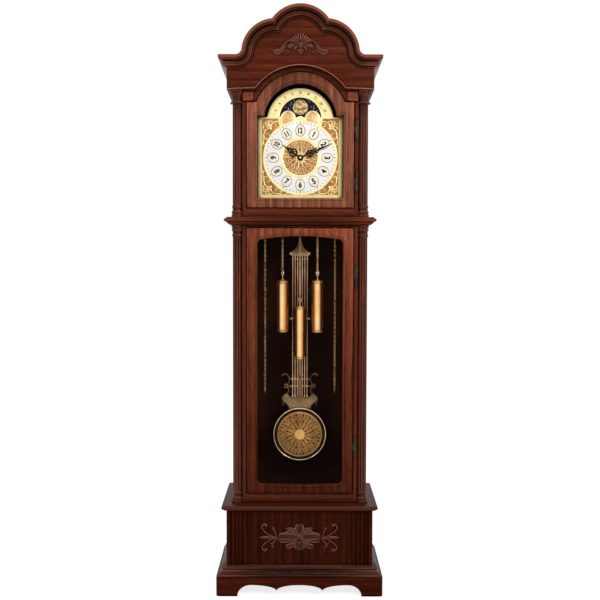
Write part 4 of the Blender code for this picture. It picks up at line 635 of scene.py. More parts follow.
def makePlinth(wood, woodPath):
    half, r = x["skirt"], plinth["corner"]
    inner = half - plinth["wall"]
    plan = [(half, y["back"])] + arc((half - r, y["front"] + r), r, 0, -pi / 2, 9)
    plan += arc((r - half, y["front"] + r), r, -pi / 2, -pi, 9) + [(-half, y["back"])]
    plan += [(-inner, y["back"]), (-inner, y["front"] + plinth["wall"]), (inner, y["front"] + plinth["wall"]),
             (inner, y["back"])]
    end = half - plinth["foot"]
    rise, cusp = plinth["archRise"], plinth["cuspRise"]
    cuspX, apex = end * plinth["cuspShare"], end * plinth["apexShare"]
    arch = [(end, -0.01), (end, 0)] + quarter((end, 0), (apex, rise), 14)[1:]
    arch += quarter((cuspX, cusp), (apex, rise), 10)[::-1][1:]
    arch += quarter((cuspX, cusp), (0, rise), 10)[1:]
    front = plate([mirroredPoints(arch)], y["front"] - 0.01, y["front"] + plinth["wall"] + 0.01)
    near, far = y["front"] + plinth["sideFoot"], y["back"] - plinth["sideFoot"]
    side = [(near, -0.01), (far, -0.01), (far, 0)] + quarter((far, 0), (far - cusp, cusp), 8)[1:]
    side += quarter((near, 0), (near + cusp, cusp), 8)[::-1]
    across = plate([side], -half - 0.01, half + 0.01, axis="X")
    body = cutBy(plate([plan], 0, z["skirt"], axis="Z"), [front, across])
    placed("plinthSkirt", softened(body, plinth["edge"]), wood, "case", ["plinth_skirt"])
    mesh = wrapped(bulged(plinth["profile"]), x["base"] + clear, y["box"] - clear, plinth["sideOut"] - clear,
                   plinth["frontOut"] - clear, y["back"], x["base"] + clear, y["box"] - clear,
                   z["skirt"] + clear, plinth["mouldingRise"])
    placed("plinthMoulding", mesh, woodPath, "case", ["plinth_moulding"])


# Base box: a front with fluted stiles round a flat panel
base = {"thickness": 0.016, "stile": 0.0697, "edge": 0.0012, "flutes": 4, "fluteWidth": 0.0062,
        "flutePitch": 0.0128, "fluteDepth": 0.003, "fluteMargin": 0.0155, "groove": 0.003,
        "grooveDepth": 0.0022}


def makeBase(wood):
    half, front = x["base"], y["box"]
    edge = [(0.0, front)]
    middles = [(half - base["stile"], base["groove"], base["grooveDepth"])]
    for i in reversed(range(base["flutes"])):
        middles.append((half - base["fluteMargin"] - base["flutePitch"] * i, base["fluteWidth"],
                        base["fluteDepth"]))
    for middle, width, depth in middles:
        for i in range(9):
            a = pi * i / 8
            edge.append((middle - width / 2 * cos(a), front + depth * sin(a)))
    edge += [(half - base["edge"], front), (half, front + base["edge"]), (half, front + base["thickness"])]
    plan = edge[1:] + [(-px, py) for px, py in reversed(edge[1:])]
    mesh = plate([plan], z["skirt"] + clear, z["base"], axis="Z")
    placed("baseFront", mesh, wood, "case", ["base_front"])


# Ledge over the base box
ledge = {"sideOut": 0.0151, "frontOut": 0.018,
         "profile": [(30, 0), (52, 14, 20), (60, 16), (94, 36, -20), (94, 42), (100, 46, 20), (100, 78, 10),
                     (90, 92, 30), (78, 98.5, 10), (60, 100)]}


def makeLedge(wood):
    low = z["base"] + clear
    back = y["boardBack"] - clear
    rings = []
    for out, up in bulged(ledge["profile"]):
        px, py = x["base"] + ledge["sideOut"] * out, y["box"] - ledge["frontOut"] * out
        pz = low + (z["ledge"] - low) * up
        rings.append([(-px, py, pz), (px, py, pz), (px, back, pz), (-px, back, pz)])
    placed("baseLedge", lofted(rings), wood, "case", ["base_top_moulding"])


# Corner columns: reeded shafts between turned feet and caps
column = {"radius": 0.0165, "reeds": 10, "reedDepth": 0.003, "shaftShare": 0.95, "foot": 0.042,
          "cap": 0.042, "middle": -0.0885, "behind": 0.0175, "ease": 0.0012,
          "footProfile": [(116, 0), (118, 3, 20), (118, 17), (110, 22, 30), (102, 25), (102, 29),
                          (113, 34, 20), (113, 44, 35), (100, 50), (96, 58, -20), (94, 72), (104, 80, 30),
                          (104, 90, 30), (92, 96), (92, 100)],
          "capProfile": [(94, 100), (112, 97), (138, 95, 20), (138, 87, 30), (112, 84), (102, 78, -20),
                         (100, 66), (110, 60, 30), (110, 54, 30), (102, 50), (116, 34, -25), (144, 20, -20),
                         (150, 17), (176, 4, 10), (178, 0)]}


def columnRing(radius, at, side, reedDepth):
    ring = []
    count = column["reeds"] * 8
    for i in range(count):
        a = tau * i / count
        dip = reedDepth * (1 - abs(sin(column["reeds"] * a / 2)) ** 0.7) if reedDepth else 0
        r = radius - dip
        px = max(r * cos(a), x["recess"] + clear - x["column"])
        py = min(r * sin(a), column["behind"] - clear)
        ring.append((side * (x["column"] + px), column["middle"] + py, at))
    return ring


def columnMesh(low, high, capProfile, side):
    rings = []
    r, foot, cap = column["radius"], column["foot"], column["cap"]
    for wide, up in bulged(column["footProfile"], 4):
        rings.append(columnRing(r * wide, low + foot * up, side, 0))
    shaft, ease = r * column["shaftShare"], column["ease"]
    for k in range(9):
        t = k / 8
        at = low + foot + ease + (high - low - foot - cap - 2 * ease) * t
        rings.append(columnRing(shaft * (1 - 0.02 * t), at, side, column["reedDepth"]))
    for wide, down in bulged(capProfile, 4):
        rings.append(columnRing(r * wide, high - cap * down, side, 0))
    return lofted(rings)


def makeColumns(wood):
    # the trunk columns' caps are their feet turned over
    profile = column["footProfile"][::-1]
    bulges = [0] + [-sum(rest) for _, _, *rest in profile]
    plain = [(wide, up, bulge) for (wide, up, *_), bulge in zip(profile, bulges)]
    for storey, low, high, cap in (("trunk", z["ledge"] + clear, z["trunk"], plain),
                                   ("hood", z["waist"] + clear, z["frieze"], column["capProfile"])):
        for side, hand in ((-1, "left"), (1, "right")):
            placed(storey + "Column" + hand.title(), columnMesh(low, high, cap, side), wood, "case",
                   [storey + "_column_" + hand])


# Waist moulding between trunk and hood
waist = {"sideOut": 0.0249, "frontOut": 0.0235, "innerX": 0.1905, "innerY": -0.075,
         "profile": [(30, 0), (36, 6, 20), (50, 12, 20), (56, 14), (60, 28), (82, 40, -25), (86, 42),
                     (97, 46, 20), (100, 56, 10), (100, 68), (93, 78, 25), (80, 80), (74, 84), (70, 96, 10),
                     (62, 100)]}


def makeWaist(wood):
    low = z["trunk"] + clear
    mesh = wrapped(bulged(waist["profile"]), x["trunk"], y["door"], waist["sideOut"], waist["frontOut"],
                   y["boardBack"] - clear, waist["innerX"], waist["innerY"], low, z["waist"] - low)
    placed("waistMoulding", mesh, wood, "case", ["waist_moulding"])


# Doors: an outer line, a sight line, and how their edges step from the front to the back
trunkDoor = {"low": 0.3365, "high": 1.2288, "stile": 0.03425, "lowRail": 0.0305, "highRail": 0.0367,
             "rise": 0.0105, "foot": 0.004, "corner": 0.017}
hoodDoor = {"low": 1.2974, "shoulder": 1.6446, "archRadius": 0.158, "cove": 0.01, "coveRise": 0.0596,
            "lowRail": 0.0314, "sightRoom": 0.001, "archRoom": 0.0101, "ear": 0.0154, "corner": 0.007}
doorEdges = {
    "outer": mm([(0, -85), (0, -103.2), (-0.6, -104.4), (-1.8, -105)]),
    "sight": mm([(8.8, -105), (8.4, -104.1), (7.6, -103.7), (6.6, -104.2), (5, -104.6), (3.4, -104.2),
                 (2.2, -103), (1.2, -101.2), (0, -99), (0, -89.3), (6, -89.3), (6, -85)]),
    "glassNear": -0.089, "glassFar": -0.086, "glassRoom": 0.0057,
}


def trunkOuter(grow):
    half, low, high = x["door"] + grow, trunkDoor["low"] - grow, trunkDoor["high"] + grow
    return [(half, low), (half, high), (-half, high), (-half, low)]


def trunkSight(grow):
    half = x["door"] - trunkDoor["stile"] + grow
    low = trunkDoor["low"] + trunkDoor["lowRail"] - grow
    high = trunkDoor["high"] - trunkDoor["highRail"] + grow
    corner = trunkDoor["corner"] + grow
    line = []
    for level, up, rise in ((low, -1, trunkDoor["foot"]), (high, 1, trunkDoor["rise"])):
        points = arc((half - corner, level - up * corner), corner, 0, up * pi / 2, 7)
        flat = half - corner
        for i in range(1, 9):
            px = flat * (8 - i) / 8
            points.append((px, level + up * rise * (1 - (px / flat) ** 2)))
        line += points[::-1] if up < 0 else points
    return mirroredPoints(line)


def hoodOuter(grow):
    half, low = x["door"] + grow, hoodDoor["low"] - grow
    radius, cove = hoodDoor["archRadius"] + grow, hoodDoor["cove"] - grow
    coveZ = z["arch"] + hoodDoor["coveRise"] + hoodDoor["cove"]
    archX = sqrt(radius ** 2 - (coveZ - z["arch"]) ** 2)
    line = [(half, low), (half, hoodDoor["shoulder"] + grow)]
    line += arc((archX + cove, coveZ), cove, -pi / 2, -pi, 7)
    start = math.asin((coveZ - z["arch"]) / radius)
    line += arc((0, z["arch"]), radius, start, pi / 2, 22)[1:]
    line[-1] = (0, z["arch"] + radius)
    return mirroredPoints(line)


def hoodSight(grow):
    half = x["dial"] + hoodDoor["sightRoom"] + grow
    low = hoodDoor["low"] + hoodDoor["lowRail"] - grow
    radius = dial["archRadius"] + hoodDoor["archRoom"] + grow
    ear, corner = hoodDoor["ear"] + grow, hoodDoor["corner"]
    line = arc((half - corner, low + corner), corner, -pi / 2, 0, 6)
    line.append((half, z["arch"] + ear))
    line += arc((0, z["arch"]), radius, math.asin(ear / radius), pi / 2, 22)
    line[-1] = (0, z["arch"] + radius)
    return mirroredPoints(line)


def fillLoops(bm, loops):
    reach = 2.0
    flat = [[Vector((px / reach, pz / reach, 0)) for px, pz in line] for line, _ in loops]
    verts = [v for _, ring in loops for v in ring]
    for triple in tessellate_polygon(flat):
        bm.faces.new([verts[k] for k in triple])


def frameMesh(outerOf, sightOf, outerSteps, sightSteps):
    bm = bmesh.new()
    outerRings = [[bm.verts.new((px, at, pz)) for px, pz in outerOf(grow)] for grow, at in outerSteps]
    sightRings = [[bm.verts.new((px, at, pz)) for px, pz in sightOf(grow)] for grow, at in sightSteps]
    for rings in (outerRings, sightRings):
        for ring, far in zip(rings, rings[1:]):
            for i in range(len(ring)):
                j = (i + 1) % len(ring)
                bm.faces.new((ring[i], ring[j], far[j], far[i]))
    fillLoops(bm, [(outerOf(outerSteps[-1][0]), outerRings[-1]), (sightOf(sightSteps[0][0]), sightRings[0])])
    fillLoops(bm, [(outerOf(outerSteps[0][0]), outerRings[0]), (sightOf(sightSteps[-1][0]), sightRings[-1])])
    return meshFrom(bm, "door")


def makeDoors(trunkWood, hoodWood, glass):
    for name, outerOf, sightOf, wood in (("trunk", trunkOuter, trunkSight, trunkWood),
                                         ("hood", hoodOuter, hoodSight, hoodWood)):
        body = name + "_door"
        mesh = frameMesh(outerOf, sightOf, doorEdges["outer"], doorEdges["sight"])
        placed(name + "DoorFrame", mesh, wood, body, [name + "_door_frame"])
        pane = plate([sightOf(doorEdges["glassRoom"])], doorEdges["glassNear"], doorEdges["glassFar"], 0.0003)
        placed(name + "DoorGlass", pane, glass, body, [name + "_door_glass"])


# Face frames behind the doors' edges, and the blocks beside the arched head
faceFrame = {"gap": 0.003, "edge": 0.0006, "block": [(0.1555, 0.1905), (1.6475, 1.6808)], "blockCorner": 0.01,
             "blockNear": -0.1075}


def makeFaceFrames(trunkWood, hoodWood, blockWood):
    gap = faceFrame["gap"]
    for name, low, high, outerOf, wood in (("trunk", z["ledge"] + clear, z["trunk"], trunkOuter, trunkWood),
                                           ("hood", z["waist"] + clear, z["roof"], hoodOuter, hoodWood)):
        line = [(-x["recess"], low), (x["recess"], low), (x["recess"], high), (-x["recess"], high)]
        mesh = plate([line, outerOf(gap)], y["frame"], y["frameBack"], faceFrame["edge"])
        placed(name + "FaceFrame", mesh, wood, "case", [name + "_face_frame"])
    (left, right), (low, high) = faceFrame["block"]
    r = faceFrame["blockCorner"]
    line = arc((left + r, low + r), r, pi, pi * 1.5, 8) + [(right, low), (right, high), (left, high)]
    for side, hand in ((-1, "Left"), (1, "Right")):
        points = [(side * px, pz) for px, pz in line]
        mesh = plate([points], faceFrame["blockNear"], y["frame"] - 0.0001, 0.0014, steps=3)
        placed("headBlock" + hand, mesh, blockWood, "case")


# Bonnet: the scalloped top line, its board and its crown
bonnet = {"centreRadius": 0.1132, "centreRise": 0.0496, "sideRadius": 0.111, "sideX": 0.0818,
          "sideRise": 0.0046, "fillet": 0.02, "drop": 0.037, "sideOut": 0.0261, "frontOut": 0.028,
          "cutHalf": 0.1516, "cutRise": 0.0797, "inset": 0.002, "bead": 0.0017,
          "profile": [(0, 0), (0, 93), (3, 100, 30), (26, 100), (30, 97, 30), (31, 88), (40, 70, -18),
                      (47, 42, -10), (50, 36), (55.5, 36), (56.5, 52), (64, 62, 35), (72, 60, 30), (75.5, 50),
                      (79, 50), (90, 28, -20), (95.5, 16), (100, 13, 20), (100, 0)]}


def bonnetLine(drop):
    centre = Vector((0, z["crown"] + bonnet["centreRise"]))
    side = Vector((bonnet["sideX"], z["crown"] + bonnet["sideRise"]))
    r0, r1 = bonnet["centreRadius"] - drop, bonnet["sideRadius"] - drop
    between = side - centre
    span = between.length
    along = (r0 ** 2 - r1 ** 2 + span ** 2) / (2 * span)
    across = sqrt(r0 ** 2 - along ** 2)
    unit = between / span
    notch = centre + unit * along + Vector((-unit.y, unit.x)) * across
    line = arc(centre, r0, pi / 2, math.atan2(notch.y - centre.y, notch.x - centre.x), 20)
    line[0] = (0, centre.y + r0)
    filletZ = z["crown"] + bonnet["fillet"]
    reach = sqrt((bonnet["sideRadius"] + bonnet["fillet"]) ** 2 - (filletZ - side.y) ** 2)
    hollow = Vector((side.x + reach, filletZ))
    start = math.atan2(notch.y - side.y, notch.x - side.x)
    end = math.atan2(hollow.y - side.y, hollow.x - side.x)
    line += arc(side, r1, start, end, 22)[1:]
    line += arc(hollow, bonnet["fillet"] + drop, end + pi, pi * 1.5, 10)[1:]
    return line


def makeBonnet(boardWood, crownWood, beadWood):
    inset = bonnet["inset"]
    low = z["frieze"] + clear
    half, rise = bonnet["cutHalf"], bonnet["cutRise"]
    radius = (half ** 2 + rise ** 2) / (2 * rise)
    centreZ = z["frieze"] + rise - radius
    start = math.asin((low - centreZ) / radius)
    cut = arc((0, centreZ), radius, pi / 2, start, 28)
    cut[0] = (0, centreZ + radius)
    line = cut + [(x["frieze"], low), (x["frieze"], z["crown"] - inset)] + bonnetLine(inset)[::-1]
    front = plate([mirroredPoints(line)], y["box"], y["frame"] - clear, 0.0008)
    inner = x["side"] + clear
    sides = [boxMesh(*sorted((side * inner, side * x["frieze"])), y["frame"] - 0.003, y["back"], low,
                     z["crown"] - inset, 0.0005) for side in (-1, 1)]
    placed("pedimentBoard", joined([front, *sides]), boardWood, "case", ["pediment_board"])
    columns = []
    for down, out in bulged(bonnet["profile"], 4):
        drop = bonnet["drop"] * down
        py = y["box"] - clear - (bonnet["frontOut"] - clear) * out
        px = x["frieze"] + clear + (bonnet["sideOut"] - clear) * out
        right = [(qx, py, qz) for qx, qz in bonnetLine(drop)]
        right += [(px, py, z["crown"] - drop)]
        right += [(px, py + (y["back"] - py) * k / 5, z["crown"] - drop) for k in range(1, 6)]
        columns.append([(-qx, qy, qz) for qx, qy, qz in reversed(right[1:])] + right)
    placed("crownMoulding", lofted([list(ring) for ring in zip(*columns)]), crownWood, "case",
           ["crown_moulding"])
    # a cock bead follows the cut and turns out along the frieze's lower edge
    path = [(px, pz + 0.0006) for px, pz in arc((0, centreZ), radius, pi - start, start, 57)]
    end, level = x["frieze"] - 0.001, low + 0.0016
    path = [(-end, level)] + path[1:-1] + [(end, level)]
    placed("cutBead", beadAlong(path, y["box"] - 0.0009, bonnet["bead"]), beadWood, "case")


def beadAlong(path, at, radius):
    rings = []
    for i, (px, pz) in enumerate(path):
        before, after = path[max(i - 1, 0)], path[min(i + 1, len(path) - 1)]
        run = Vector((after[0] - before[0], after[1] - before[1])).normalized()
        rings.append([(px - run.y * radius * cos(a), at + radius * sin(a),
                       pz + run.x * radius * cos(a)) for a in (tau * k / 8 for k in range(8))])
    return lofted(rings)


def makeCase():
    caseZ = makeWood("caseWoodUpright", "case", "Z")
    for _ in range(3):
        dice.random()  # three draws are left out here, so that the grain of the next woods stays
    casePath = makeWood("caseWoodMoulding", "moulding", "path", wornAndHighlit=0.8)
    basePath = makeWood("baseWoodMoulding", "plinth", "path", roughness=0.22, wornAndHighlit=0.9)
    skirtX = makeWood("skirtWood", "skirt", "X")
    baseZ = makeWood("baseWoodUpright", "base", "Z")
    innerWood = makeWood("innerWood", "inner", "Z", roughness=0.6, wornAndHighlit=0.55)
    makePlinth(skirtX, basePath)
    makeBase(baseZ)
    makeLedge(makeWood("ledgeWood", "ledge", "X", wornAndHighlit=1.0))
    makeColumns(makeWood("columnWood", "column", "Z", wornAndHighlit=0.8))
    makeWaist(casePath)
    # painted light: the trunk door lighter towards its top; painted shade on the hood door's arched head
    trunkLightFall = (0.33, 1.22, (0.34, 0.27, 0.21), (1.15, 1.2, 1.25))
    hoodShadeFall = (1.64, 1.75, (1.0, 1.0, 1.0), (0.5, 0.42, 0.38))
    trunkWood = makeWood("trunkDoorWood", "trunkDoor", "Z", lightFall=trunkLightFall)
    hoodWood = makeWood("hoodDoorWood", "hoodDoor", "Z", lightFall=hoodShadeFall)
    makeDoors(trunkWood, hoodWood, makeGlass())
    frameWood = makeWood("faceFrameWood", "case", "Z", (x["door"], 0.33, 1.232))
    hoodFrameWood = makeWood("hoodFrameWood", "case", "Z", (x["door"], 1.2965, 1.645))
    makeFaceFrames(frameWood, hoodFrameWood, makeWood("blockWood", "trunkDoor", "X"))
    friezeWood = makeWood("friezeWood", "frieze", "X")
    crownWood = makeWood("crownWood", "crown", "path", roughness=0.24, wornAndHighlit=1.0)
    makeBonnet(friezeWood, crownWood, makeWood("beadWood", "bead", "path", roughness=0.16, wornAndHighlit=0.9))
    for name in ("base_side_left", "base_side_right"):
        nodes[name].data.materials[0] = baseZ
    for name in ("trunk_side_left", "trunk_side_right", "hood_side_left", "hood_side_right"):
        nodes[name].data.materials[0] = caseZ
    for name in ("back_board", "base_floor", "hood_top_board", "seat_board"):
        nodes[name].data.materials[0] = innerWood
    print("case ready")


# Relief: a crowned ridge along a line. Half width and rise are numbers, or go by the share of the way
def relief(line, width, rise, plane, across=7, ribs=0, groove=0.4, cup=0.0, sink=0.0004):
    rings, last = [], len(line) - 1
    for i, (px, pz) in enumerate(line):
        before, after = line[max(i - 1, 0)], line[min(i + 1, last)]
        run = Vector((after[0] - before[0], after[1] - before[1])).normalized()
        t = i / last
        half, high = (part(t) if callable(part) else part for part in (width, rise))
        ring = []
        for k in range(across):
            s = 2 * k / (across - 1) - 1
            crown = sqrt(max(0.0, 1 - abs(s) ** (6 if cup else 2)))
            if cup:
                crown *= 1 - cup * (1 - s * s)
            if ribs:
                crown *= 1 - groove * (0.5 + 0.5 * cos(tau * ribs * s))
            qx, qz = px - run.y * half * s, pz + run.x * half * s
            ground = plane(qx, qz) if callable(plane) else plane
            ring.append((qx, ground + sink - (high + sink) * crown, qz))
        rings.append(ring)
    return lofted(rings)


def tapered(most, least):
    return lambda t: most * (1 - (1 - least) * t)


def crowned(most, least=0.5, start=0.2, run=0.7):
    return lambda t: most * (least + (1 - least) * sin(pi * min(1, start + t * run)))


def swelling(most, full=0.45, ends=0.1):
    power = math.log(0.5) / math.log(full)
    return lambda t: most * (ends + (1 - ends) * sin(pi * t ** power) ** 0.8)


def oval(most, full=0.6):
    def width(t):
        part = (full - t) / full if t < full else (t - full) / (1 - full)
        return most * max(0.06, sqrt(max(0.0, 1 - part * part)))
    return width


def spiral(centre, start, end, turn, sweep, count=18):
    line = []
    for i in range(count + 1):
        t = i / count
        line.append(polar(centre, start + (end - start) * t, radians(turn + sweep * t)))
    return line


def through(points, steps=5):
    return rounded(points, closed=False, steps=steps)


def strokes(rows, high, plane):
    # each row is a line in millimetres, and what swelling says of its width
    return [relief(through(mm(line)), swelling(*width), high, plane, 5) for line, *width in rows]


def dome(centre, radius, height, plane, count=14, steps=4, squeeze=1.0):
    rings = []
    ground = plane(*centre) if callable(plane) else plane
    for k in range(steps + 1):
        a = pi / 2 * k / steps
        ring = circle(max(radius * cos(a), radius * 0.04), count)
        rings.append([(centre[0] + px, ground + 0.0003 - (height + 0.0003) * sin(a),
                       centre[1] + pz * squeeze) for px, pz in ring])
    return lofted(rings)


def flipped(meshes):
    made = []
    for mesh in meshes:
        copy = mesh.copy()
        copy.transform(Matrix.Scale(-1, 4, (1, 0, 0)))
        copy.flip_normals()
        made.append(copy)
    return made


def turnedRound(meshes, count, centre):
    made = []
    for i in range(count):
        spin = Matrix.Rotation(tau * i / count, 4, "Y")
        for mesh in meshes:
            copy = mesh.copy()
            copy.transform(Matrix.Translation(centre) @ spin)
            made.append(copy)
    return made


def ringMesh(profile, count, centre):
    # the profile is a closed line of (radius, y) that goes once round the centre
    rings = []
    for radius, at in profile:
        rings.append([(centre[0] + px, at, centre[-1] + pz) for px, pz in circle(radius, count)])
    return lofted(rings, caps=False, loop=True)


def letters(text, height, centre, turn, near, thickness=0.0003, bold=0.0, narrow=1.0):
    curve = bpy.data.curves.new("figure", "FONT")
    curve.body = text
    curve.size = 1.0
    curve.resolution_u = 4
    obj = bpy.data.objects.new("figure", curve)
    mesh = bpy.data.meshes.new_from_object(obj)
    low = [min(v.co[k] for v in mesh.vertices) for k in (0, 1)]
    high = [max(v.co[k] for v in mesh.vertices) for k in (0, 1)]
    bpy.data.meshes.remove(mesh)
    factor = height / (high[1] - low[1])
    curve.size = factor
    curve.extrude = thickness / 2
    curve.offset = bold
    mesh = bpy.data.meshes.new_from_object(obj)
    bpy.data.objects.remove(obj)
    middle = [(a + b) / 2 * factor for a, b in zip(low, high)]
    place = Matrix.Translation((centre[0], near + thickness / 2, centre[1]))
    mesh.transform(place @ toWorld["Y"] @ Matrix.Rotation(radians(turn), 4, "Z")
                   @ Matrix.Diagonal((narrow, 1, 1, 1)) @ Matrix.Translation((-middle[0], -middle[1], 0)))
    bm = bmesh.new()
    bm.from_mesh(mesh)
    bmesh.ops.remove_doubles(bm, verts=bm.verts, dist=1e-7)
    return meshFrom(bm, "figure")


# Carvings on the base box and on the pediment: right halves, and what stands in the middle
carving = {"plane": y["box"], "rise": 0.0062, "base": (0.35, 0.15, 0.8), "pediment": (0.45, 0.1, 0.8)}


def leaf(place, points, width, share, across=7, steps=5, **more):
    high = crowned(carving["rise"] * share, *carving[place])
    return relief(through(mm(points), steps), width, high, carving["plane"], across, **more)


def makeBaseCarving(wood):
    plane, rise = carving["plane"], carving["rise"]
    right = [
        leaf("base", [(4, 190.5), (30, 190.2), (55, 189), (71.5, 188)], oval(0.0178, 0.62), 0.95, 15, steps=8,
             ribs=3, groove=0.16, cup=0.55),
        leaf("base", [(10, 212), (26, 218.5), (46.5, 221.5)], swelling(0.0052, 0.4), 0.6, 7, cup=0.4),
        leaf("base", [(14, 207), (30, 213), (47, 208)], swelling(0.0042, 0.4), 0.5, 7),
        leaf("base", [(6, 180), (22, 167), (36, 160), (47, 159)], oval(0.0088, 0.7), 0.8, 11, cup=0.6),
        leaf("base", [(10, 176), (20, 169.5), (30, 166)], swelling(0.0022, 0.5), 0.9),
        leaf("base", [(78, 189.3), (94, 189.6), (110, 189.9), (132, 189.7)], swelling(0.0052, 0.62, 0.22),
             0.8, 9, ribs=1, groove=0.3),
        leaf("base", [(72, 189), (85, 192.5), (101, 199.6), (118, 210.5), (126.8, 224), (120, 234.5),
                      (112, 233), (112.5, 227)], swelling(0.0026, 0.8, 0.45), 0.75),
        leaf("base", [(79, 187), (95, 183.5), (108, 176), (120, 166), (125.5, 156), (120, 146), (111, 146.5),
                      (111.5, 153)], swelling(0.0026, 0.8, 0.45), 0.75),
        leaf("base", [(76, 185), (84, 176), (91, 166.5), (90.5, 159), (85, 156.8)],
             swelling(0.0024, 0.5, 0.4), 0.6),
        leaf("base", [(79, 193), (81, 206), (86, 217)], swelling(0.0018, 0.5, 0.5), 0.5),
    ]
    for px, pz, r, share in ((0.088, 0.2205, 0.0042, 0.6), (0.083, 0.1893, 0.0036, 0.75),
                             (0.0965, 0.17, 0.0026, 0.5), (0.0128, 0.1745, 0.003, 0.95),
                             (0.114, 0.23, 0.003, 0.7), (0.113, 0.15, 0.003, 0.7)):
        right.append(dome((px, pz), r, rise * share, plane))
    for degrees, length in ((58, 22), (32, 34), (-32, 26)):
        a = radians(degrees)
        ray = [polar((0, 191.2), r, a) for r in (6, length)]
        right.append(leaf("base", ray, swelling(0.0042, 0.55), 1.0, 9, 8, ribs=1))
    middle = [
        leaf("base", [(0, 202), (0, 218), (0, 237)], oval(0.0155, 0.62), 0.7, 13, steps=7, cup=0.7),
        leaf("base", [(0, 179), (0, 162), (0, 146.5)], oval(0.019, 0.45), 0.8, 15, steps=7, ribs=3,
             groove=0.25),
        dome((0, 0.1918), 0.0092, rise * 1.08, plane, 18, 5),
        dome((0, 0.1732), 0.0034, rise, plane),
    ]
    placed("baseCarving", joined(middle + right + flipped(right)), wood, "case", ["base_carving"],
           smooth=60)


def makePedimentCarving(wood):
    plane, rise = carving["plane"], carving["rise"]
    right = [
        leaf("pediment", [(4, 1832), (20, 1835.5), (36, 1839.5), (47, 1834.5), (56, 1824), (65, 1811),
                          (76, 1801.5), (87, 1803.5)], swelling(0.006, 0.86, 0.45), 0.95, 9, ribs=1,
             groove=0.3),
        leaf("pediment", [(38, 1829), (50, 1821), (60, 1808.5), (70, 1798.5), (79, 1796.8)],
             swelling(0.0042, 0.6), 0.7, 9, ribs=1),
        leaf("pediment", [(70, 1811), (80, 1808), (90.5, 1807)], swelling(0.0034, 0.5, 0.3), 0.8),
        leaf("pediment", [(6, 1827), (20, 1826.5), (33, 1822), (40, 1814)], swelling(0.0046, 0.55), 0.85, 9,
             ribs=1),
        leaf("pediment", [(5, 1820), (14, 1819), (21, 1814)], swelling(0.003, 0.6), 0.8),
        leaf("pediment", [(29, 1830), (36, 1824), (39, 1816)], swelling(0.003, 0.5), 0.6),
    ]
    for px, pz, r in ((0.039, 1.8034, 0.0031), (0.047, 1.8062, 0.0033), (0.056, 1.8046, 0.0033),
                      (0.0515, 1.7978, 0.0031), (0.043, 1.7985, 0.0027), (0.0172, 1.8132, 0.0034),
                      (0.0085, 1.8075, 0.0026)):
        right.append(dome((px, pz), r, rise * 0.85, plane))
    middle = [dome((0, 1.8275), 0.0075, rise * 1.05, plane, 18, 5),
              dome((0, 1.7985), 0.0036, rise * 0.8, plane)]
    for degrees, length in ((0, 31.8), (16, 31.2), (33, 30.5), (51, 30.0), (70, 31.5)):
        a = radians(90 - degrees)
        root, tip = (10 * cos(a), 1832 + 6 * sin(a)), (length * cos(a) * 1.12, 1832 + length * sin(a))
        ray = leaf("pediment", [root, tip], swelling(0.003, 0.72, 0.25), 0.9, steps=10)
        (right if degrees else middle).append(ray)
    for pz, r in ((1818, 0.0038), (1812, 0.0033), (1805.5, 0.003)):
        middle.append(leaf("pediment", [(0, pz + 4), (0, pz - 4)], oval(r, 0.5), 0.9, 9, 6, ribs=1))
    for px, pz in ((4.5, 1808), (4, 1802)):
        right.append(leaf("pediment", [(px * 0.6, pz + 4), (px, pz), (px * 1.7, pz - 4)],
                          swelling(0.0018, 0.5), 0.7, steps=4))
    placed("pedimentCarving", joined(middle + right + flipped(right)), wood, "case", ["pediment_carving"],
           smooth=60)


# Hinges: a turned barrel of three knuckles with a finial at each end, and the edges of its leaves
hinges = {"x": 0.186, "y": -0.1045, "half": 0.036, "radius": 0.0034, "split": 0.0105,
          "levels": [("hood", "upper", 1.5544), ("hood", "lower", 1.3826), ("trunk", "upper", 1.0665),
                     ("trunk", "lower", 0.4934)]}


def barrel(low, high, level):
    r = hinges["radius"]
    profile = [(r * 0.3, low), (r * 0.92, low + 0.0001), (r, low + 0.0005), (r, high - 0.0005),
               (r * 0.92, high - 0.0001), (r * 0.3, high)]
    return turned(profile, 16, (hinges["x"], hinges["y"], level))


def makeHinges(brass):
    r, half, split = hinges["radius"], hinges["half"], hinges["split"]
    for storey, hand, level in hinges["levels"]:
        name = storey + "Hinge" + hand.title()
        node = storey + "_hinge_" + hand
        parts = [barrel(split + 0.0002, half - 0.004, level), barrel(-half + 0.004, -split - 0.0002, level)]
        for up in (-1, 1):
            tip = [(r * 0.95, half - 0.004), (r * 0.6, half - 0.0034), (r * 0.78, half - 0.0022),
                   (r * 0.66, half - 0.0008), (r * 0.15, half)]
            tip = tip if up > 0 else [(radius, -at) for radius, at in reversed(tip)]
            parts.append(turned(tip, 14, (hinges["x"], hinges["y"], level)))
        low, high = level - half + 0.004, level + half - 0.004
        parts.append(boxMesh(x["door"] + 0.0035, 0.1925, y["frame"] - 0.0003, y["frame"] + 0.0006, low, high,
                             0.0002))
        placed(name + "CaseLeaf", joined(parts), brass, "case", [node + "_case_leaf"])
        door = [barrel(-split, split, level),
                boxMesh(0.1781, 0.183, -0.103, -0.1012, level - split, level + split, 0.0002)]
        placed(name + "DoorLeaf", joined(door), brass, storey + "_door", [node + "_door_leaf"])
    print("hinges ready")


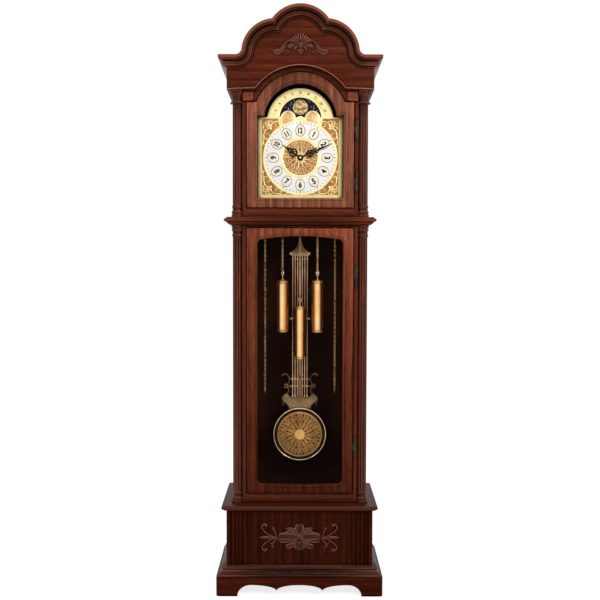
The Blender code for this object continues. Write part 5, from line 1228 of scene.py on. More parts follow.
# Dial: an arched gold plate, its corner ornaments, the chapter ring with its figures, and the engraved centre
dial = {"half": 0.1415, "low": 1.3288, "shoulder": 1.6004, "archRadius": 0.1115, "front": -0.075,
        "back": -0.0735, "windowRadius": 0.0705, "humpX": 0.041, "humpZ": 1.5965, "humpRadius": 0.026,
        "lobeZ": 1.605, "hole": 0.0085, "ringOuter": 0.119, "ringInner": 0.0668, "ringFront": -0.0768,
        "figureRadius": 0.0905, "figureHeight": 0.018, "ovalAcross": 0.0155,
        "ovalAlong": 0.0187, "minuteRadius": 0.115, "border": 0.0125, "cornerMiddle": 0.0985,
        "archGap": 0.0745}
moonArch = {"dayRadius": 0.0865, "dayHeight": 0.0082, "tickRadius": 0.0768, "ticks": 45, "globeReach": 0.024,
        "lineWidth": 0.00042, "lineRise": 0.0005, "shellFoot": 1.5905}


def archOutline(half, low, shoulder, radius):
    ear = shoulder - z["arch"]
    line = [(half, low), (half, shoulder)]
    line += arc((0, z["arch"]), radius, math.asin(ear / radius), pi / 2, 40)
    line[-1] = (0, z["arch"] + radius)
    return mirroredPoints(line)


def moonWindow():
    hump = (dial["humpX"], dial["humpZ"])
    line = arc((0, z["moon"]), dial["windowRadius"], pi / 2, radians(4), 40)
    line[0] = (0, z["moon"] + dial["windowRadius"])
    line += arc(hump, dial["humpRadius"], radians(6), radians(174), 26)
    line.append((0, dial["lobeZ"]))
    return mirroredPoints(line)


def scrollSpray(plane):
    # the ornament of one corner: a shell between two branches, about the corner's diagonal
    high, middle = crowned(0.0009), dial["cornerMiddle"]
    half = [
        ([(96, 96), (110, 98), (120, 88), (122.5, 74), (118.5, 63), (112.5, 64), (113, 70)], 0.0019),
        ([(122.5, 76), (124.8, 64), (124, 50), (121, 44), (118, 47)], 0.0015),
        ([(101, 103), (112, 108), (122, 104), (123.5, 96), (118, 94)], 0.0017),
        ([(124, 100), (124.5, 110), (119, 116), (114, 113), (116, 109)], 0.0015),
        ([(117, 82), (109, 83), (104, 78), (106, 73)], 0.0014),
        ([(123.5, 56), (126.2, 48), (125.5, 38)], 0.0011),
    ]
    meshes = []
    for line, width in half:
        line = through(mm(line))
        for points in (line, [(b, a) for a, b in reversed(line)]):
            meshes.append(relief(points, swelling(width, 0.45, 0.35), high, plane, 5))
    for degrees in (-52, -26, 0, 26, 52):
        a = radians(45 + degrees)
        ray = [polar((middle, middle), r, a) for r in (0.003, 0.017)]
        meshes.append(relief(through(ray, 6), swelling(0.0021, 0.7, 0.2), high, plane, 5))
    meshes.append(dome((middle, middle), 0.0035, 0.0011, plane))
    return meshes


def makeDial(gold, ornament, ground, ivory, ink, peach, globe, engraved, markBlue, ovalGold, shieldCream):
    front, zh = dial["front"], z["hands"]
    plateMesh = plate([archOutline(dial["half"], dial["low"], dial["shoulder"], dial["archRadius"]),
                       moonWindow(), circle(dial["hole"], 32, (0, zh))], front, dial["back"], 0.0003)
    feet = []
    for px in (-0.095, 0.095):
        for pz in (1.36, 1.4997):
            feet.append(turned(mm([(0.5, -73.8), (3, -73.7), (3, -59), (2.2, -58.4), (0.5, -58.4)]), 16,
                               (px, 0, pz), "Y"))
    feet.append(turned(mm([(0.3, -73.8), (2, -73.7), (2, -70.2), (0.3, -70)]), 12, (0, 0, z["moon"]), "Y"))
    placed("dialPlate", joined([plateMesh, *feet]), gold, "case", ["dial_plate"])
    # a matted sheet carries the corner ornaments and stops short of the plate's bright border
    side, low, high = dial["half"] - dial["border"], dial["low"] + dial["border"], dial["shoulder"] - 0.004
    sheet = [(side, low), (side, high), (-side, high), (-side, low)]
    opening = circle(dial["ringOuter"] - 0.001, 96, (0, zh))
    plane = front - 0.0003
    gap = plate([circle(dial["archGap"], 64, (0, z["moon"]))], front - 0.002, front + 0.002)
    matted = cutBy(plate([sheet, opening], plane, front + 0.0001), [gap])
    placed("dialGround", matted, ground, "case")
    spray = scrollSpray(plane)
    corners = []
    for sideways in (1, -1):
        for up in (1, -1):
            for mesh in spray:
                copy = mesh.copy()
                copy.transform(Matrix.Translation((0, 0, zh)) @ Matrix.Diagonal((sideways, 1, up * 0.985, 1)))
                if sideways * up < 0:
                    copy.flip_normals()
                corners.append(copy)
    placed("cornerOrnaments", joined(corners), ornament, "case", smooth=60)
    trim = beadPath(sheet, plane, 0.0007, True)
    placed("dialInnerBorder", trim, gold, "case")
    makeChapterRing(gold, ivory, ink, markBlue, ovalGold, shieldCream)
    makeDialCentre(gold, ornament, peach)
    makeMoonArch(gold, engraved, globe)
    print("dial ready")


def beadPath(path, plane, radius, closed):
    rings = []
    count = len(path)
    for i in range(count):
        a, b, c = Vector(path[i - 1]), Vector(path[i]), Vector(path[(i + 1) % count])
        before, after = (b - a).normalized(), (c - b).normalized()
        if not closed and i in (0, count - 1):
            before = after = (after if i == 0 else before)
        normal = Vector((-(before + after).y, (before + after).x)).normalized()
        reach = radius / max(0.35, normal.dot(Vector((-after.y, after.x))))
        rings.append([(b.x + normal.x * reach * cos(t), plane + 0.0002 - (radius + 0.0002) * sin(t),
                       b.y + normal.y * reach * cos(t)) for t in (pi * k / 6 for k in range(7))])
    return lofted(rings, caps=not closed, loop=closed)


def makeChapterRing(gold, ivory, ink, markBlue, ovalGold, shieldCream):
    zh, front = z["hands"], dial["ringFront"]
    centre = (0, 0, zh)
    outer, inner, far, edge = dial["ringOuter"], dial["ringInner"], dial["front"] - clear, 0.0004
    band = [(outer, far), (outer, front + edge), (outer - edge, front), (inner + edge, front),
            (inner, front + edge), (inner, far)]
    placed("chapterRing", ringMesh(band, 120, centre), ivory, "case", ["chapter_ring"])
    rims = [ringMesh([(outer + 0.0066, dial["front"] - 0.0002), (outer + 0.006, front + 0.0004),
                      (outer + 0.0008, front - 0.0003), (outer - 0.0004, front + 0.0001),
                      (outer - 0.0004, dial["front"] - 0.0002)], 144, centre),
            ringMesh([(inner + 0.0006, front + 0.0002), (inner + 0.0002, front - 0.0005),
                      (inner - 0.0012, front - 0.0005), (inner - 0.0016, front + 0.0004)], 120, centre)]
    placed("ringBorders", joined(rims), gold, "case")
    marks, ovals, shields, figures = [], [], [], []
    for minute in range(60):
        a = tau * minute / 60
        wide, tall = (0.0015, 0.0036) if minute % 5 else (0.0021, 0.005)
        marks.append(relief([(r * sin(a), zh + r * cos(a)) for r in
                             (dial["minuteRadius"] - tall / 2 + tall * k / 3 for k in range(4))],
                            wide, 0.0003, front, 5))
    for hour in range(1, 13):
        a = tau * hour / 12
        out = Vector((sin(a), cos(a)))
        side = Vector((cos(a), -sin(a)))
        middle = out * dial["figureRadius"] + Vector((0, zh))
        loop = []
        for px, pz in circle(1.0, 40):
            point = middle + side * px * dial["ovalAcross"] + out * pz * dial["ovalAlong"]
            loop.append((point.x, point.y))
        ovals.append(beadPath(loop[::-1], front, 0.00125, True))
        inner = [tuple(middle + (Vector(p) - middle) * 0.97) for p in loop]
        shields.append(plate([inner], front - 0.0002, front + 0.0001))
        turn = -math.degrees(a) if hour in (9, 10, 11, 12, 1, 2, 3) else 180 - math.degrees(a)
        figures.append(letters(str(hour), dial["figureHeight"], tuple(middle), turn, front - 0.0006, 0.0005,
                               0.00105, 0.7 if hour > 9 else 0.86))
    placed("minuteMarks", joined(marks), markBlue, "case")
    placed("hourOvals", joined(ovals), ovalGold, "case", smooth=60)
    placed("hourShields", joined(shields), shieldCream, "case")
    placed("hourFigures", joined(figures), ink, "case", smooth=30)


def makeDialCentre(gold, ornament, peach):
    zh, front = z["hands"], dial["front"] - 0.0004
    placed("centreGround", plate([circle(dial["ringInner"] - 0.001, 96, (0, zh)),
                                  circle(dial["hole"], 32, (0, zh))], front, dial["front"] + 0.0001), peach,
           "case")
    high = crowned(0.0008)
    rows = [
        ([(0, 16), (6, 26), (5, 37), (-1, 45)], 0.0017, 0.4, 0.3),
        ([(5.5, 30), (12, 33), (15, 40), (11, 45), (8, 41)], 0.0013, 0.5, 0.35),
        ([(9.5, 54), (15, 59), (17, 52), (13, 50)], 0.0012, 0.5, 0.35),
        ([(4, 13.5), (7.5, 18.5), (6, 23.5)], 0.0016, 0.5),
    ]
    base = strokes(rows, high, front) + [
        relief(spiral((0.0, 0.055), 0.0085, 0.0022, -90, 330, 20), tapered(0.0013, 0.6), high, front, 5),
        dome((0.0165, 0.059985), 0.0016, 0.0007, front, 8, 2),
    ]
    centre = (0, 0, zh)
    for mesh in base:
        mesh.transform(Matrix.Diagonal((0.89, 1, 0.89, 1)))
    placed("centreScrolls", joined(turnedRound(base, 12, centre)), ornament, "case", smooth=60)
    borders = [ringMesh([(r + w, front + 0.0002), (r + w * 0.6, front - h), (r - w * 0.6, front - h),
                         (r - w, front + 0.0002)], 120, centre) for r, w, h in
               ((0.0622, 0.004, 0.0008), (0.0128, 0.0022, 0.0008))]
    placed("centreBorders", joined(borders), gold, "case")


def makeMoonArch(gold, engraved, globe):
    front, zm = dial["front"], z["moon"]
    borders = []
    for degrees, r, width, trimmed in ((6, 0.0735, 0.0012, False), (10, 0.0985, 0.0009, True)):
        line = arc((0, zm), r, radians(degrees), radians(180 - degrees), 72)
        if trimmed:
            line = [p for p in line if math.hypot(p[0], p[1] - z["arch"]) < dial["archRadius"] - 0.001
                    and p[1] > dial["shoulder"]]
        borders.append(relief(line, width, 0.0006, front, 5))
    placed("archBorders", joined(borders), gold, "case", smooth=60)
    figures, ticks = [], []
    # the moon's age in days, in plain figures
    for i, day in enumerate(("3", "6", "9", "12", "15", "18", "21", "24", "27")):
        a = radians(162 - 18 * i)
        place = polar((0, zm), moonArch["dayRadius"], a)
        figures.append(letters(day, moonArch["dayHeight"], place, math.degrees(a) - 90, front - 0.00025,
                               0.0004, 0.00035, 0.85))
    for i in range(moonArch["ticks"] + 1):
        a = radians(168 - 156 * i / moonArch["ticks"])
        size = 0.0022 if i % 5 else 0.0034
        steps = [moonArch["tickRadius"] + size * k / 3 for k in range(4)]
        ticks.append(relief([polar((0, zm), r, a) for r in steps], 0.00045, 0.00025, front, 5))
    placed("moonDays", joined(figures + ticks), engraved, "case", smooth=30)
    globes, rims = [], []
    for side in (-1, 1):
        centre = (side * dial["humpX"], dial["humpZ"])
        r = dial["humpRadius"]
        globes.append(plate([circle(r - 0.0018, 64, centre)], front - 0.0005, front + 0.0001, 0.0001))
        rims.append(ringMesh([(r, front + 0.0002), (r - 0.0005, front - 0.0008), (r - 0.0013, front - 0.0008),
                              (r - 0.002, front + 0.0002)], 72, (centre[0], 0, centre[1])))
    placed("globePlates", joined(globes), globe, "case")
    placed("globeRims", joined(rims), gold, "case", smooth=60)
    lines = []
    for side in (-1, 1):
        middle, level = side * dial["humpX"], dial["humpZ"]
        for k in range(1, 4):
            for way in (-1, 1):
                line = [(middle, level - 0.02351), (middle + way * 0.0062 * k, level),
                        (middle, level + 0.02351)]
                lines.append((line, 10))
        for k in (-2, -1, 0, 1, 2):
            at = level + 0.0078 * k
            reach = sqrt(moonArch["globeReach"] ** 2 - (0.0078 * k) ** 2)
            lines.append(([(middle - reach, at), (middle, at - 0.0008), (middle + reach, at)], 8))
    lines = [relief(through(line, steps), moonArch["lineWidth"], moonArch["lineRise"], front - 0.0005, 5)
             for line, steps in lines]
    lobe = [dome((0, 1.5985), 0.0055, 0.0012, front, squeeze=1.1)]
    for degrees in (-60, -30, 0, 30, 60):
        a = radians(90 - degrees)
        ray = [polar((0, moonArch["shellFoot"]), r, a) for r in (0.003, 0.0125)]
        lobe.append(relief(through(ray, 6), swelling(0.002, 0.7, 0.2), 0.0011, front, 5))
    placed("globeLines", joined(lines), engraved, "case", smooth=60)
    placed("archShell", joined(lobe), gold, "case", smooth=60)


# Moon: a dark sky with stars and two moons, which turns behind the window
moon = {"orbit": 0.0385, "radius": 0.027, "disc": 0.0745, "near": -0.0725, "far": -0.0712, "stars": 95,
        "tries": 4000, "starReach": 0.0715, "starGap": 0.0048}


def starOutline(radius, centre, turn):
    return [polar(centre, radius * (1 if k % 2 else 0.42), turn + pi * k / 5) for k in range(10)]


def makeMoon(sky, gold, paleStar, cream, shade):
    zm, near = z["moon"], moon["near"]
    disc = plate([circle(moon["disc"], 96, (0, zm)), circle(0.0023, 24, (0, zm))], near, moon["far"], 0.0002)
    placed("moonDisc", disc, sky, "moon", ["moon_disc"])
    centres = [(0, zm + moon["orbit"]), (0, zm - moon["orbit"])]
    stars, kept = [], []
    for _ in range(moon["tries"]):
        if len(kept) == moon["stars"]:
            break
        r, a = moon["starReach"] * sqrt(dice.random()), dice.uniform(0, tau)
        place = polar((0, zm), r, a)
        size = dice.uniform(0.0011, 0.0026)
        free = all(math.dist(place, c) > moon["radius"] + size + 0.001 for c in centres) and r > 0.006
        if free and all(math.dist(place, other) > moon["starGap"] for other in kept):
            kept.append(place)
            stars.append(plate([starOutline(size, place, dice.uniform(0, 1))], near - 0.0002, near + 0.0001))
    placed("moonStars", joined(stars[::2]), gold, "moon", smooth=0)
    placed("moonStarsPale", joined(stars[1::2]), paleStar, "moon", smooth=0)
    faces, marks = [], []
    for side, (cx, cz) in zip((1, -1), centres):
        faces.append(dome((cx, cz), moon["radius"], 0.00055, near, 64, 6))
        # a few craters with raised rims, no face
        for px, pz, r in ((-0.0115, 0.0085, 0.0036), (0.005, 0.0145, 0.0024), (0.013, 0.003, 0.003),
                          (0.0075, -0.012, 0.0034), (-0.012, -0.0095, 0.0026), (-0.0015, -0.019, 0.002)):
            loop = circle(r, 20, (cx + side * px, cz + side * pz))
            marks.append(beadPath(loop, near - 0.00045, 0.00045, True))
    placed("moonFaces", joined(faces), cream, "moon", smooth=60)
    placed("moonCraters", joined(marks), shade, "moon", smooth=0)
    print("moon ready")


# Hands: pierced scrolls on a straight stem, seen flat, and turned to the time
handTable = {"minute": {"back": -0.081, "thick": 0.0011, "degrees": 66.0},
             "hour": {"back": -0.0785, "thick": 0.0011, "degrees": 305.5}}
handSpread = 1.65


def makeHands(black, brass):
    zh = z["hands"]
    shapes = {
        "minute": [
            ([(0, 6), (0, 18), (0, 30)], 0.0019, 0.8),
            ([(0, 25), (6, 26.8), (9.6, 32), (9.2, 38.5), (5, 41.5), (1.4, 38.5), (3, 34.5), (5.8, 35.2)],
             0.0015, 0.6),
            ([(0, 37), (4.2, 43), (6.8, 48), (5, 53.5), (1, 54.5)], 0.0013, 0.6),
            ([(0, 54.5), (4, 56), (8.2, 60), (7, 64), (4, 62.5)], 0.0012, 0.6),
            ([(0, 30), (0, 50), (0, 70)], 0.0013, 1.0),
            ([(0, 66), (0, 78), (0, 92)], 0.0023, 0.6),
            ([(0, 88), (0, 102), (0, 115)], 0.0013, 0.25),
        ],
        "hour": [
            ([(0, 6), (0, 14), (0, 22)], 0.0021, 0.8),
            ([(0, 18), (7, 19.5), (11.8, 25), (11.8, 32.5), (7, 37), (2.2, 34), (3.4, 29), (6.8, 29.2)],
             0.0017, 0.6),
            ([(0, 33), (5.2, 40), (7, 45), (4, 49), (0.8, 48.5)], 0.0014, 0.6),
            ([(0, 22), (0, 35), (0, 50)], 0.0014, 1.0),
            ([(0, 47), (0, 58), (0, 74.5)], 0.0023, 0.18),
        ],
    }
    for name, body in (("hour", "hour_pipe"), ("minute", "centre_arbor")):
        hand = handTable[name]
        plane, thick = hand["back"], hand["thick"]
        meshes = []
        for line, width, least in shapes[name]:
            mesh = relief(through(mm(line), 6), tapered(width * handSpread, least), thick - 0.0002,
                          plane - 0.0002, 7, sink=0.0002)
            meshes.append(mesh)
            if any(px for px, _ in line):
                meshes += flipped([mesh])
        meshes.append(ringMesh([(0.0094, plane), (0.0092, plane - thick), (0.0042, plane - thick),
                                (0.0038, plane)], 48, (0, 0, 0)))
        spin = Matrix.Translation((0, 0, zh)) @ Matrix.Rotation(radians(hand["degrees"]), 4, "Y")
        for mesh in meshes:
            mesh.transform(spin)
        if name == "hour":
            # the pipe behind the hand and its wheel, which the minute wheel's pinion turns
            pipe = ringMesh(mm([(6.6, -78.5), (6.6, -67.6), (4.4, -67.6), (4.4, -78.5)]), 32, (0, 0, zh))
            teeth = []
            for k in range(72):
                for share, r in ((-0.3, 0.0138), (-0.13, 0.0149), (0.13, 0.0149), (0.3, 0.0138)):
                    a = tau * (k + share) / 72
                    teeth.append(polar((0, zh), r, a))
            wheel = plate([teeth, circle(0.0046, 24, (0, zh))], -0.0676, -0.0656)
            placed("hourPipe", joined([pipe, wheel]), brass, body)
        placed(name + "Hand", joined(meshes), black, body, [name + "_hand"], smooth=50)
    cap = turned(mm([(0.3, -83.8), (1.6, -83.7), (2.8, -83.2), (3.3, -82.5), (3.3, -82), (0.3, -81.8)]), 24,
                 (0, 0, zh), "Y")
    placed("handCap", cap, brass, "centre_arbor")
    print("hands ready")


# Pendulum: bracket, rods, cross bar and lyre, with the bob below
pendulum = {"y": 0.06, "front": 0.0562, "back": 0.0638, "rodPitch": 0.0086, "rodRadius": 0.0021,
            "bracketLow": 1.139, "bracketHigh": 1.2, "crossBar": 0.916, "rodFoot": 0.626, "barTop": 1.5309}


def bothSides(line):
    return [line, [(-px, pz) for px, pz in line]]


def makePendulum(gold, lyreGold, rodMetal, woodRod, knobMetal):
    py, front, back = pendulum["y"], pendulum["front"], pendulum["back"]
    low, tall = pendulum["bracketLow"], pendulum["bracketHigh"] - pendulum["bracketLow"]
    # bracket: a small roof with hollow slopes, a knob at each end and a finial
    slope = through([(0.004, 1.0), (0.0052, 0.8), (0.009, 0.62), (0.015, 0.45), (0.023, 0.32), (0.03, 0.24),
                     (0.033, 0.17), (0.0335, 0.08), (0.03, 0.02), (0.02, 0.0)], 4)
    line = [(px, low + tall * share) for px, share in slope]
    parts = [plate([mirroredPoints(line)], front, back, 0.0009)]
    inner = [(px * 0.7, low + tall * (0.06 + share * 0.66)) for px, share in slope]
    parts.append(beadPath(mirroredPoints(inner), front, 0.0007, True))
    knobs = []
    for side in (-1, 1):
        knob = [(0.0006, front - 0.0016), (0.003, front - 0.0012), (0.0047, front + 0.0002), (0.0052, 0.059),
                (0.0052, 0.061), (0.0047, back - 0.0002), (0.003, back), (0.0006, back)]
        knobs.append(turned(knob, 22, (side * 0.0325, 0, low + 0.009), "Y"))
    parts.append(turned(mm([(0.5, -4), (3, -3.6), (4, 0), (3.2, 3), (2.2, 4.2), (3, 6.2), (2.2, 8.5),
                            (0.5, 9)]), 20, (0, py, low + tall)))
    # suspension bar up to the spring's block
    parts.append(boxMesh(-0.003, 0.003, py - 0.00125, py + 0.00125, low + tall * 0.7, pendulum["barTop"],
                         0.0004))
    # cross bar with a knob at each end
    bar = pendulum["crossBar"]
    parts.append(boxMesh(-0.03, 0.03, front + 0.0012, back - 0.0012, bar - 0.003, bar + 0.003, 0.0008))
    for side in (-1, 1):
        knobs.append(turned([(0.0004, front - 0.0014), (0.003, front - 0.0008), (0.0044, front + 0.0012),
                             (0.0044, back - 0.001), (0.0012, back)], 20, (side * 0.0318, 0, bar), "Y"))
    placed("pendulumKnobs", joined(knobs), knobMetal, "pendulum", smooth=45)
    placed("pendulumBracket", joined(parts), gold, "pendulum", ["pendulum_rod"], smooth=45)
    rods, woods = [], []
    top, foot = low + 0.006, pendulum["rodFoot"]
    for i in range(7):
        px = pendulum["rodPitch"] * (i - 3)
        r = pendulum["rodRadius"]
        if i == 3:
            woods.append(boxMesh(-0.0046, 0.0046, py - 0.0022, py + 0.0022, foot, top, 0.0008))
            continue
        profile = [(r * 0.4, foot), (r, foot + 0.0006)]
        for level in (0.64, 0.6743, 0.7, 0.916, 1.128):
            profile += [(r, level - 0.004), (r * 1.5, level - 0.0034), (r * 1.5, level + 0.0034),
                        (r, level + 0.004)]
        profile += [(r, top - 0.0006), (r * 0.4, top)]
        rods.append(turned(profile, 16, (px, py, 0)))
    placed("pendulumRods", joined(rods), rodMetal, "pendulum")
    placed("pendulumStaff", joined(woods), woodRod, "pendulum")
    makeLyre(lyreGold, rodMetal)
    print("pendulum ready")


def makeLyre(gold, screwMetal):
    front, back = pendulum["front"] - 0.0002, pendulum["back"]
    body = through(mm([(0, 644), (10, 640), (18, 633), (26, 631), (35, 637), (44, 645.5), (54, 644),
                       (62, 637), (64.4, 629), (61.5, 620.5), (53, 615), (45, 608), (40, 600), (36, 592.5)]),
                   4)
    outline = mirroredPoints([(max(px, 0.0), pz) for px, pz in body])
    parts = [plate([outline], front, back, 0.0009)]
    for line in bothSides(body[8:]):
        inset = [(px * 0.965, 0.62 + (pz - 0.62) * 0.9) for px, pz in line]
        parts.append(relief(inset, 0.0009, 0.0012, front, 7))
    arms = [
        # arm from the body's lobe up past the lower bar, and the horn above it
        ([(56, 640), (50, 645), (42.5, 650), (39, 657.5), (40.2, 666.5), (44, 674.3)],
         swelling(0.0038, 0.3, 0.75)),
        ([(44, 674.3), (42.5, 683), (38.5, 692), (38, 700), (40.5, 708.5), (46.5, 716), (54, 718.5),
          (60, 716.5), (62, 712.5)], swelling(0.0042, 0.85, 0.6)),
        ([(52, 625), (56, 618), (59.5, 612), (59, 606)], swelling(0.003, 0.7, 0.6)),
    ]
    thick = back - front
    for line, width in arms:
        for points in bothSides(mm(line)):
            parts.append(relief(through(points), width, thick - 0.001, back - 0.001, 9, sink=0.001))
    for side in (-1, 1):
        for px, pz, r in ((0.0612, 0.7135, 0.0042), (0.0585, 0.6065, 0.0033), (0.0452, 0.679, 0.0048),
                          (0.053, 0.679, 0.0046), (0.0452, 0.67, 0.0048), (0.053, 0.67, 0.0046),
                          (0.0352, 0.6743, 0.0042)):
            knob = [(r * 0.15, front - 0.001), (r * 0.6, front - 0.0006), (r * 0.92, front + 0.0008),
                    (r, front + 0.0022), (r, back - 0.001), (r * 0.7, back), (r * 0.1, back)]
            parts.append(turned(knob, 20, (side * px, 0, pz), "Y"))
    for level, half, height in ((0.6743, 0.044, 0.0034), (0.7, 0.0385, 0.0024)):
        parts.append(boxMesh(-half, half, front + 0.001, back - 0.0006, level - height, level + height,
                             0.0007))
    # a small palmette on the upper bar
    for degrees in (-62, -31, 0, 31, 62):
        a = radians(90 - degrees)
        ray = [polar((0, 0.701), r, a) for r in (0.002, 0.0115)]
        parts.append(relief(through(ray, 6), swelling(0.0024, 0.65, 0.3), 0.0022, front + 0.0012, 7))
    placed("lyre", joined(parts), gold, "pendulum", smooth=45)
    screws = [dome((side * 0.021, 0.6037), 0.0026, 0.0012, front, 18, 4) for side in (-1, 1)]
    placed("lyreScrews", joined(screws), screwMetal, "pendulum")


# Bob: its rim, the recess inside it in painted shadow, the crowned face, and rings of pierced leaves drawn as
# marks in painted shadow
piercings = {"rings": 5, "first": 0.0245, "step": 0.0112, "spacing": 0.0125, "lean": 34}
bob = {"disc": 0.0812, "rim": mm([(88, 57.7), (90, 57.2), (94, 55.8), (95.7, 53.6), (96, 51.4), (95.6, 49.7),
                                  (94.6, 48.4), (93, 47.7), (91.4, 48), (90.2, 49), (89.7, 50.6), (89.3, 53),
                                  (88, 54.5)]), "recess": mm([(60, 56.2), (88.5, 56), (89.6, 54), (89.6, 53),
                                                              (87, 52.8), (82, 53), (60, 53.5)]),
       "face": mm([(0.5, 56), (79, 55.6), (81.2, 52), (81.5, 49), (80.8, 48), (79.6, 47.6), (70, 46.5),
                   (56, 45.4), (40, 44.6), (20, 44.1), (0.5, 44)])}


def bobFace(px, pz):
    r = min(math.hypot(px, pz), bob["disc"])
    line = bob["face"][5:]
    for (ra, ya), (rb, yb) in zip(line, line[1:]):
        if r >= rb:
            return ya + (yb - ya) * (ra - min(r, ra)) / (ra - rb)
    return line[-1][1]


def makeBob(rimMetal, shadow, gold, plain):
    centre = (0, 0, z["bob"])
    placed("bobRim", ringMesh(bob["rim"], 144, centre), rimMetal, "pendulum", ["pendulum_bob"],
           smooth=50)
    placed("bobRecess", ringMesh(bob["recess"], 120, centre), shadow, "pendulum", smooth=50)
    placed("bobFace", turned(bob["face"], 120, centre, "Y"), gold, "pendulum")
    # pierced leaves in rings, drawn as dark raised marks in painted shadow rather than holes, with chased
    # scrolls between them
    piercingShades = []
    for ring in range(piercings["rings"]):
        r = piercings["first"] + piercings["step"] * ring
        count = 4 * round(tau * r / piercings["spacing"] / 4)
        lean = radians(piercings["lean"]) * (1 if ring % 2 else -1)
        for k in range(count):
            a = tau * (k + 0.5 * (ring % 2)) / count
            out, side = Vector((sin(a), cos(a))), Vector((cos(a), -sin(a)))
            run = out * cos(lean) + side * sin(lean)
            reach = 0.0056 if k % 2 else 0.0042
            line = [tuple(out * r + run * reach * share) for share in (-1, -0.4, 0.3, 1)]
            piercingShades.append(relief(line, swelling(0.0032 if k % 2 else 0.0024, 0.6, 0.25), 0.0003, bobFace, 5,
                                sink=0.0001))
    placed("bobPiercingShades", joined(turnedRound(piercingShades, 1, centre)), shadow, "pendulum", smooth=60)
    high = 0.0005
    rows = [
        ([(0, 19), (2.2, 29), (-0.6, 40), (2.4, 50)], 0.0012, 0.4, 0.4),
        ([(-0.8, 50), (-5, 56), (-6.8, 64), (-4, 72)], 0.001, 0.5, 0.4),
        ([(2, 30), (5.2, 35), (5.6, 41)], 0.0008, 0.5, 0.4),
    ]
    base = strokes(rows, high, bobFace) + [
        relief(spiral((0.003, 0.056), 0.0042, 0.0012, 200, -330, 14), tapered(0.0009, 0.6), high, bobFace, 5),
        relief(spiral((0.004, 0.0688), 0.004, 0.0012, 20, 330, 14), tapered(0.0008, 0.6), high, bobFace, 5),
    ]
    meshes = turnedRound(base, 16, centre)
    for r, half in ((0.0783, 0.0014), (0.0182, 0.0009)):
        loop = circle(r, 120)
        meshes += turnedRound([relief(loop + loop[:2], half, high, bobFace, 5)], 1, centre)
    placed("bobScrolls", joined(meshes), plain, "pendulum", smooth=60)
    boss = mm([(0.5, 45.5), (16.5, 45.2), (17.2, 44.1), (14, 43.7), (8, 43.4), (0.5, 43.3)])
    placed("bobCentre", turned(boss, 64, centre, "Y"), plain, "pendulum", smooth=60)
    print("bob ready")


# Weights: a polished shell with a set-in cap at each end, and a hook
weights = {"shell": 0.0203, "cap": 0.0172, "capHeight": 0.0105,
           "table": [("left", -0.06, -0.03, 0.8741, 1.0817), ("right", 0.06, -0.03, 0.8741, 1.0817),
                     ("centre", 0.0, -0.002, 0.7783, 0.9913)], "hook": 0.028}


def hookMesh(px, py, top, stem):
    # an open eye of bent wire over the weight's stem
    r, wire = 0.0046, 0.001
    line = [Vector((0, 0, stem - top))]
    for k in range(15):
        a = radians(-90 + 310 * k / 14)
        line.append(Vector((r * cos(a), 0, -r - wire + r * sin(a))))
    line = [Vector((px, py, top)) + p for p in line]
    return tube(line, wire, 8)


def tube(line, radius, sides):
    rings = []
    normal = Vector((0, 1, 0))
    for i in range(len(line)):
        run = (line[min(i + 1, len(line) - 1)] - line[max(i - 1, 0)]).normalized()
        side = normal.cross(run).normalized()
        up = run.cross(side)
        rings.append([tuple(line[i] + side * radius * cos(t) + up * radius * sin(t))
                      for t in (tau * k / sides for k in range(sides))])
    return lofted(rings)


def makeWeights(brass, capBrass, wire):
    for name, px, py, low, top in weights["table"]:
        body = name + "_weight"
        high = top - weights["hook"]
        shell, cap, rise = weights["shell"], weights["cap"], weights["capHeight"]
        profile = [(cap - 0.001, low + rise - 0.001), (shell - 0.0008, low + rise),
                   (shell, low + rise + 0.0008), (shell, high - rise - 0.0008), (shell - 0.0008, high - rise),
                   (cap - 0.001, high - rise + 0.001)]
        placed(name + "WeightShell", turned(profile, 64, (px, py, 0)), brass, body, ["weight_" + name])
        ends = []
        for edge, way in ((low, 1), (high, -1)):
            line = [(0.0004, 0.0), (cap * 0.55, 0.0), (cap * 0.62, 0.0008), (cap * 0.93, 0.001),
                    (cap, 0.0022), (cap, 0.006), (cap * 0.94, 0.0068), (cap * 0.94, rise),
                    (0.0004, rise + 0.0012)]
            line = [(r, edge + way * at) for r, at in line]
            ends.append(turned(line if way > 0 else line[::-1], 64, (px, py, 0)))
        nut = [(0.0004, high - 0.0004), (0.0058, high - 0.0003), (0.0058, high + 0.0026),
               (0.004, high + 0.004), (0.0022, high + 0.0056), (0.0022, high + 0.015),
               (0.0004, high + 0.0154)]
        tip = [(0.0004, low), (0.004, low + 0.0001), (0.004, low + 0.0016), (0.0004, low + 0.0018)]
        ends += [turned(nut, 24, (px, py, 0)), turned(tip, 24, (px, py, 0))]
        placed(name + "WeightEnds", joined(ends), capBrass, body)
        placed(name + "WeightHook", hookMesh(px, py, top + 0.001, high + 0.014), wire, body)
    print("weights ready")


# Chains: oval links by turns a quarter round, over the wheel and down on its other side
chain = {"pitch": 0.0082, "length": 0.0106, "width": 0.0066, "wire": 0.00076, "around": 12, "sides": 6,
         "high": 1.430723, "wheel": 0.03, "halvings": 36}
chainTable = [
    # name, weight's x, free end's x, y, level of the weight's eye, free end, full drop, end of the loose part
    ("left", -0.06, -0.12, -0.03, 1.079, 0.6667, 0.55, 1.24),
    ("right", 0.06, 0.12, -0.03, 1.079, 0.6667, 0.55, 1.24),
    ("centre", 0.0, 0.06, -0.002, 0.9886, 0.905, 0.455, 1.125),
]


